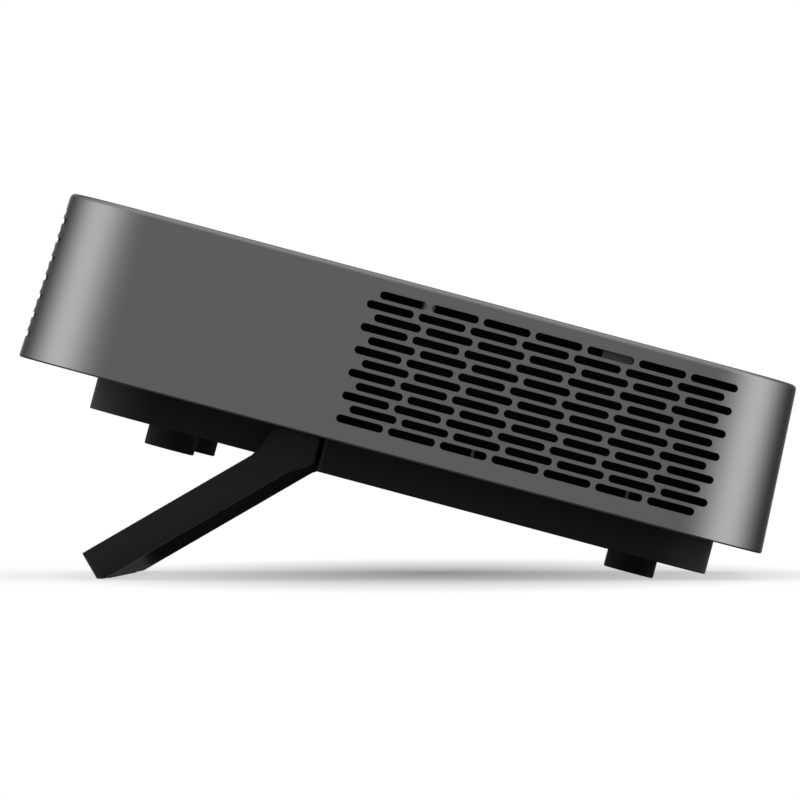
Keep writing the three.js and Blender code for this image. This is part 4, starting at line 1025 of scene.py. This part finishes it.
def makeStand():
    # a slab with its middle cut out, its roots rounded, its tip cut flat and ears joined on
    reach, width, gap = stand["reach"], stand["width"], cover["gap"]
    tip, inner = stand["tipRadius"], stand["innerRadius"]
    outline = outlineOf((-reach, standHalf), centred(0, width), (sharp, tip, tip, sharp), 12)
    slab = [(0, -standHalf), (0, standHalf)]
    made = outlineBody("standFrame", outline, slab, place=inStand)
    inside = width / 2 - stand["armThickness"]
    xs = (-reach + stand["barThickness"], standHalf + past)
    outline = outlineOf(xs, (-inside, inside), (sharp, inner, inner, sharp))
    slab = [(0, -standHalf - past), (0, standHalf + past)]
    shapeBy(made, outlineBody("gap", outline, slab, place=inStand))
    turn = np.linspace(-math.pi / 2, math.pi / 2, stand["rootPoints"])
    root = standHalf * np.stack([np.cos(turn), np.sin(turn)], -1)
    side = [*root, (-reach - past, standHalf), (-reach - past, -standHalf)]
    shapeBy(made, standPrism("side", side, centred(0, width + 2 * past)), "INTERSECT")
    shapeBy(made, floorWedge(gap, width))
    # the ears are drawn with the stand open, against the body, and turned back with it
    ears = np.array([(x, 0, z) for x, z in stand["ears"]]) @ turnAboutY(stand["angle"])
    for depths in bothSides(inside, width / 2):
        shapeBy(made, standPrism("ear", ears[:, [0, 2]], depths), "UNION")
    softenEdges(made, stand["edge"], 3)
    keepShape(made)
    xs = (-reach - past, -reach + stand["padDepth"] + gap)
    zs = (-standHalf - past, stand["padTop"] + gap)
    shapeBy(made, boxBody("seat", xs, centred(0, stand["padLength"] + 2 * gap), zs, inStand))
    hole = roundOutline(base["pinRadius"] + gap, 24)
    for depths in bothSides(inside - past, inside + stand["pinReach"]):
        shapeBy(made, prismCopies("hole", hole, [(0, 0)], *depths, "y", inStand))
    return dress(made, "stand_frame")


def makeGripPad():
    # a rubber strip let into the bar's lower front edge, flat on the floor
    xs = (-stand["reach"], -stand["reach"] + stand["padDepth"])
    zs = (-standHalf, stand["padTop"])
    made = boxBody("gripPad", xs, centred(0, stand["padLength"]), zs, inStand)
    shapeBy(made, floorWedge(0, stand["padLength"]))
    return dress(softenEdges(made, stand["padEdge"]), "stand_grip_pad")


makeStand()
makeGripPad()
print("stand made")

# Lens end: a dark panel let into the leaning front wall, with the lens window and a small sensor
# window. x is the depth behind the wall's outer face.
windows = {
    "lens": {"y": 51, "radius": 15, "sides": 128},
    "sensor": {"y": 27, "radius": 3.2, "sides": 48},
    "height": 24,
    "gap": 0.3,
    "seat": 1.6,
    "seatDepth": 2.1,
    "depths": (0.3, 1.8),
    "edge": 0.3,
}
# the glass behind the lens window, in the body's own axes
lens = {
    "radius": 14.7,
    "thickness": 3.2,
    "bulge": 2.4,
    "rim": -95.5,
}


def inFront(points):
    # body point = point turned by the wall's draft + the wall's foot
    return inBody(np.asarray(points) @ turnAboutY(band["draft"]).T + np.array([-bandHalf, 0, 0]))


def makeLensPanel():
    # a plug in the opening with a wider lip behind, and a seat and hole for each window
    gap, lipWidth = windows["gap"], lensPanel["lipWidth"]
    plate = panelOutline(lensPanel)
    rim = [*roundedStart(0, lensPanel["edge"]), (0, lensPanel["thickness"])]
    plug = [(gap + inset, depth) for inset, depth in rim]
    made = outlineBody("lensPanel", plate, plug, "x", place=inFront)
    lipFront = band["wall"] + gap
    lipBack = lipFront + lensPanel["lipThickness"]
    lip = [(-lipWidth, lipFront), (-lipWidth, lipBack)]
    shapeBy(made, outlineBody("lip", plate, lip, "x", place=inFront), "UNION")
    for window in (windows["lens"], windows["sensor"]):
        place = [(window["y"], windows["height"])]
        pane = (window["radius"] + gap, windows["seatDepth"])
        opening = (window["radius"] - windows["seat"], lipBack + past)
        for radius, depth in (pane, opening):
            circle = roundOutline(radius, window["sides"])
            shapeBy(made, prismCopies("hole", circle, place, -past, depth, "x", inFront))
    return dress(keepFlat(made), "lens_panel")


def makeWindow(node, window):
    # a thin round pane with a softened rim
    profile = turnedRim(window["radius"], roundedEnds(*windows["depths"], windows["edge"]))
    centre = (0, window["y"], windows["height"])
    made = turnedBody(node, profile, centre, "x", window["sides"], place=inFront)
    return dress(keepFlat(made), node)


def makeFrontLens():
    # the domed face stands bulge * (1 - share ^ 2) ahead of its rim
    share = np.linspace(0.04, 1, 10)
    face = zip(lens["radius"] * share, lens["rim"] - lens["bulge"] * (1 - share ** 2))
    profile = [*face, (lens["radius"], lens["rim"] + lens["thickness"])]
    centre = (0, windows["lens"]["y"], windows["height"])
    return dress(turnedBody("frontLens", profile, centre, "x", 96), "front_lens")


makeLensPanel()
makeWindow("lens_window", windows["lens"])
makeWindow("sensor_window", windows["sensor"])
makeFrontLens()
print("lens end made")

# Rear end: a recessed panel behind the wall's opening, and the sockets on the board behind it
rear = {
    "panel": (106.37, 107.97),
    "margin": 0.3,
    "edge": 0.4,
    "socketEnd": 106.07,
    "socketBottom": 7.9,
    "wall": 1,
    "leadIn": 0.3,
    "tongueSetBack": 1.5,
    "tongueEdge": 0.15,
    "blockEdge": 0.25,
}
# open sockets as (y, width, height, depth, corner) and round ones as (y, bore, width, depth)
sockets = {
    "hdmi_socket": (-36, 14.2, 4.7, 10, 1.4),
    "usb_a_socket": (-12, 12.6, 5.2, 12, 0.4),
    "usb_c_socket": (8, 8.6, 2.8, 7, 1.35),
    "card_slot": (26, 11.4, 1.2, 12, 0.3),
}
roundSockets = {
    "audio_socket": (-49, 1.8, 6.4, 12),
    "dc_inlet": (48, 3.1, 9.4, 11),
}
# what stands in each socket, as (width, height, rise above the socket's middle, material slot)
tongues = {
    "hdmi_socket": (10.4, 1.0, 0.2, "socket_plastic"),
    "usb_a_socket": (10.2, 1.9, 1.2, "white_plastic"),
    "usb_c_socket": (6.2, 0.7, 0.0, "socket_plastic"),
}
# the inlet's pin, its shoulder and tip measured back from the socket's end
inletPin = {"radius": 0.9, "tipRadius": 0.5, "shoulder": 2.4, "tip": 2}


def flared(low, high, edge):
    # a hole as (inset, height), straight up to its edge and open at 45 degrees from there
    return [(0, low), (0, high - edge), (-edge - past, high + past)]


def socketMiddle(height):
    # middle = bottom + wall + height / 2, as all sockets stand on one board
    return rear["socketBottom"] + rear["wall"] + height / 2


def socketOutline(y, width, height, corner, grown=0.0):
    # a round-cornered rectangle in (y, z), grown by a margin on every side
    tall = height + 2 * grown
    ys, zs = centred(y, width + 2 * grown), centred(socketMiddle(height), tall)
    return outlineOf(ys, zs, min(corner + grown, tall / 2), 8)


def makePortPanel():
    # a plate wider than the opening, with a flared hole for every socket
    low, high = rear["panel"]
    lip = [(-portPanel["lip"], low), (-portPanel["lip"], high)]
    made = outlineBody("portPanel", panelOutline(portPanel), lip, "x")
    hole = flared(low - past, high, rear["edge"])
    for y, width, height, depth, corner in sockets.values():
        outline = socketOutline(y, width, height, corner, rear["margin"])
        shapeBy(made, outlineBody("aperture", outline, hole, "x"))
    for y, bore, width, depth in roundSockets.values():
        centre = (0, y, rear["socketBottom"] + width / 2)
        rim = turnedRim(bore + rear["margin"], hole)
        shapeBy(made, turnedBody("aperture", rim, centre, "x"))
    return dress(made, "rear_port_panel")


def makeSocket(node):
    # a folded steel shell, closed at the back, with its tongue of contacts
    y, width, height, depth, corner = sockets[node]
    end, wall = rear["socketEnd"], rear["wall"]
    back = end - depth - wall
    outline = socketOutline(y, width, height, corner, wall)
    shell = outlineBody(node, outline, [(0, back), (0, end)], "x")
    hollow = flared(end - depth, end, rear["leadIn"])
    outline = socketOutline(y, width, height, corner)
    shapeBy(shell, outlineBody("hollow", outline, hollow, "x"))
    dress(shell, node)
    if node in tongues:
        tongueWidth, tongueHeight, rise, slotName = tongues[node]
        xs = (back + wall / 2, end - rear["tongueSetBack"])
        zs = centred(socketMiddle(height) + rise, tongueHeight)
        tongue = boxBody(node + "_tongue", xs, centred(y, tongueWidth), zs)
        dress(softenEdges(tongue, rear["tongueEdge"]), node, slotName)


def makeRoundSocket(node):
    # a block with a round bore from its outer end
    y, bore, width, depth = roundSockets[node]
    end, middle = rear["socketEnd"], rear["socketBottom"] + width / 2
    xs = (end - depth - rear["wall"], end)
    made = boxBody(node, xs, centred(y, width), centred(middle, width))
    circle = roundOutline(bore, 48)
    shapeBy(made, prismCopies("bore", circle, [(y, middle)], end - depth, end + past, "x"))
    dress(softenEdges(made, rear["blockEdge"]), node)


def makeInletPin():
    # a round pin, tapered to its tip
    y, bore, width, depth = roundSockets["dc_inlet"]
    end = rear["socketEnd"]
    profile = [
        (inletPin["radius"], end - depth - rear["wall"] / 2),
        (inletPin["radius"], end - inletPin["shoulder"]),
        (inletPin["tipRadius"], end - inletPin["tip"]),
    ]
    centre = (0, y, rear["socketBottom"] + width / 2)
    dress(turnedBody("inletPin", profile, centre, "x", 32), "dc_inlet", "steel")


makePortPanel()
for node in sockets:
    makeSocket(node)
for node in roundSockets:
    makeRoundSocket(node)
makeInletPin()
print("rear end made")

# Fasteners: turned screws with a crossed recess, the tripod insert with its thread, and the
# hinge pins
fasteners = {
    "headRadius": 2.7,
    "headHeight": 1.6,
    "shankRadius": 1,
    "edge": 0.3,
    "recess": (3.2, 0.8, 0.9),
    "insertRadius": 5,
    "insertLength": 8,
    "threadRadius": 3.1,
    "threadDepth": 0.4,
    "threadPitch": 1.27,
    "threadPoints": 61,
}


def makeScrew(node, x, y, underside):
    # a turned head and shank, with two crossed slots cut into the head
    low = underside + cover["gap"]
    headTop = low + fasteners["headHeight"]
    radius, edge = fasteners["headRadius"], fasteners["edge"]
    profile = [
        (radius - edge, low),
        (radius, low + edge),
        (radius, headTop),
        (fasteners["shankRadius"], headTop),
        (fasteners["shankRadius"], low + base["shankLength"]),
    ]
    made = turnedBody(node, profile, (x, y, 0), sides=48)
    length, width, depth = fasteners["recess"]
    zs = (low - past, low + depth)
    for sizeX, sizeY in ((length, width), (width, length)):
        shapeBy(made, boxBody("cross", centred(x, sizeX), centred(y, sizeY), zs))
    return dress(made, node)


def makeInsert():
    # a brass tube, its bore waved along its length as a thread's crests are
    low = base["rearBottom"]
    length, outer = fasteners["insertLength"], fasteners["insertRadius"]
    rows = np.linspace(0, length, fasteners["threadPoints"])
    wave = np.abs((rows / fasteners["threadPitch"]) % 1 - 0.5) * 2
    bore = fasteners["threadRadius"] + fasteners["threadDepth"] * wave
    profile = [(outer, low), (outer, low + length), *zip(bore[::-1], low + rows[::-1])]
    made = turnedBody("tripodInsert", profile, (tripodPlace[0], 0, 0), looped=True)
    return dress(made, "tripod_insert")


def makeHingePin(node, depths):
    # a round pin through the base's boss into the stand's arm
    pinX, pinZ = base["pin"]
    profile = turnedRim(base["pinRadius"], roundedEnds(*depths, fasteners["edge"]))
    return dress(turnedBody(node, profile, (pinX, 0, pinZ), "y", 32), node)


for end, (x, y, underside, headTop, seatTop) in screwPlaces.items():
    for side, sign in (("near", -1), ("far", 1)):
        makeScrew(f"case_screw_{end}_{side}", x, sign * y, underside)
makeInsert()
pinEnd = stand["width"] / 2 - stand["armThickness"] + stand["pinReach"] - cover["gap"]
nearPin, farPin = bothSides(base["pinBoss"][0], pinEnd)
makeHingePin("hinge_pin_near", nearPin)
makeHingePin("hinge_pin_far", farPin)

# Inner pieces keep their CAD shapes and take their finish
for node, slotName in nodeSlots.items():
    solid = bpy.data.objects.get(node)
    if solid and solid.type == "MESH" and not solid.hide_render:
        solid.data.materials.clear()
        solid.data.materials.append(finishes[slotName])
print("fasteners and inner finishes made")
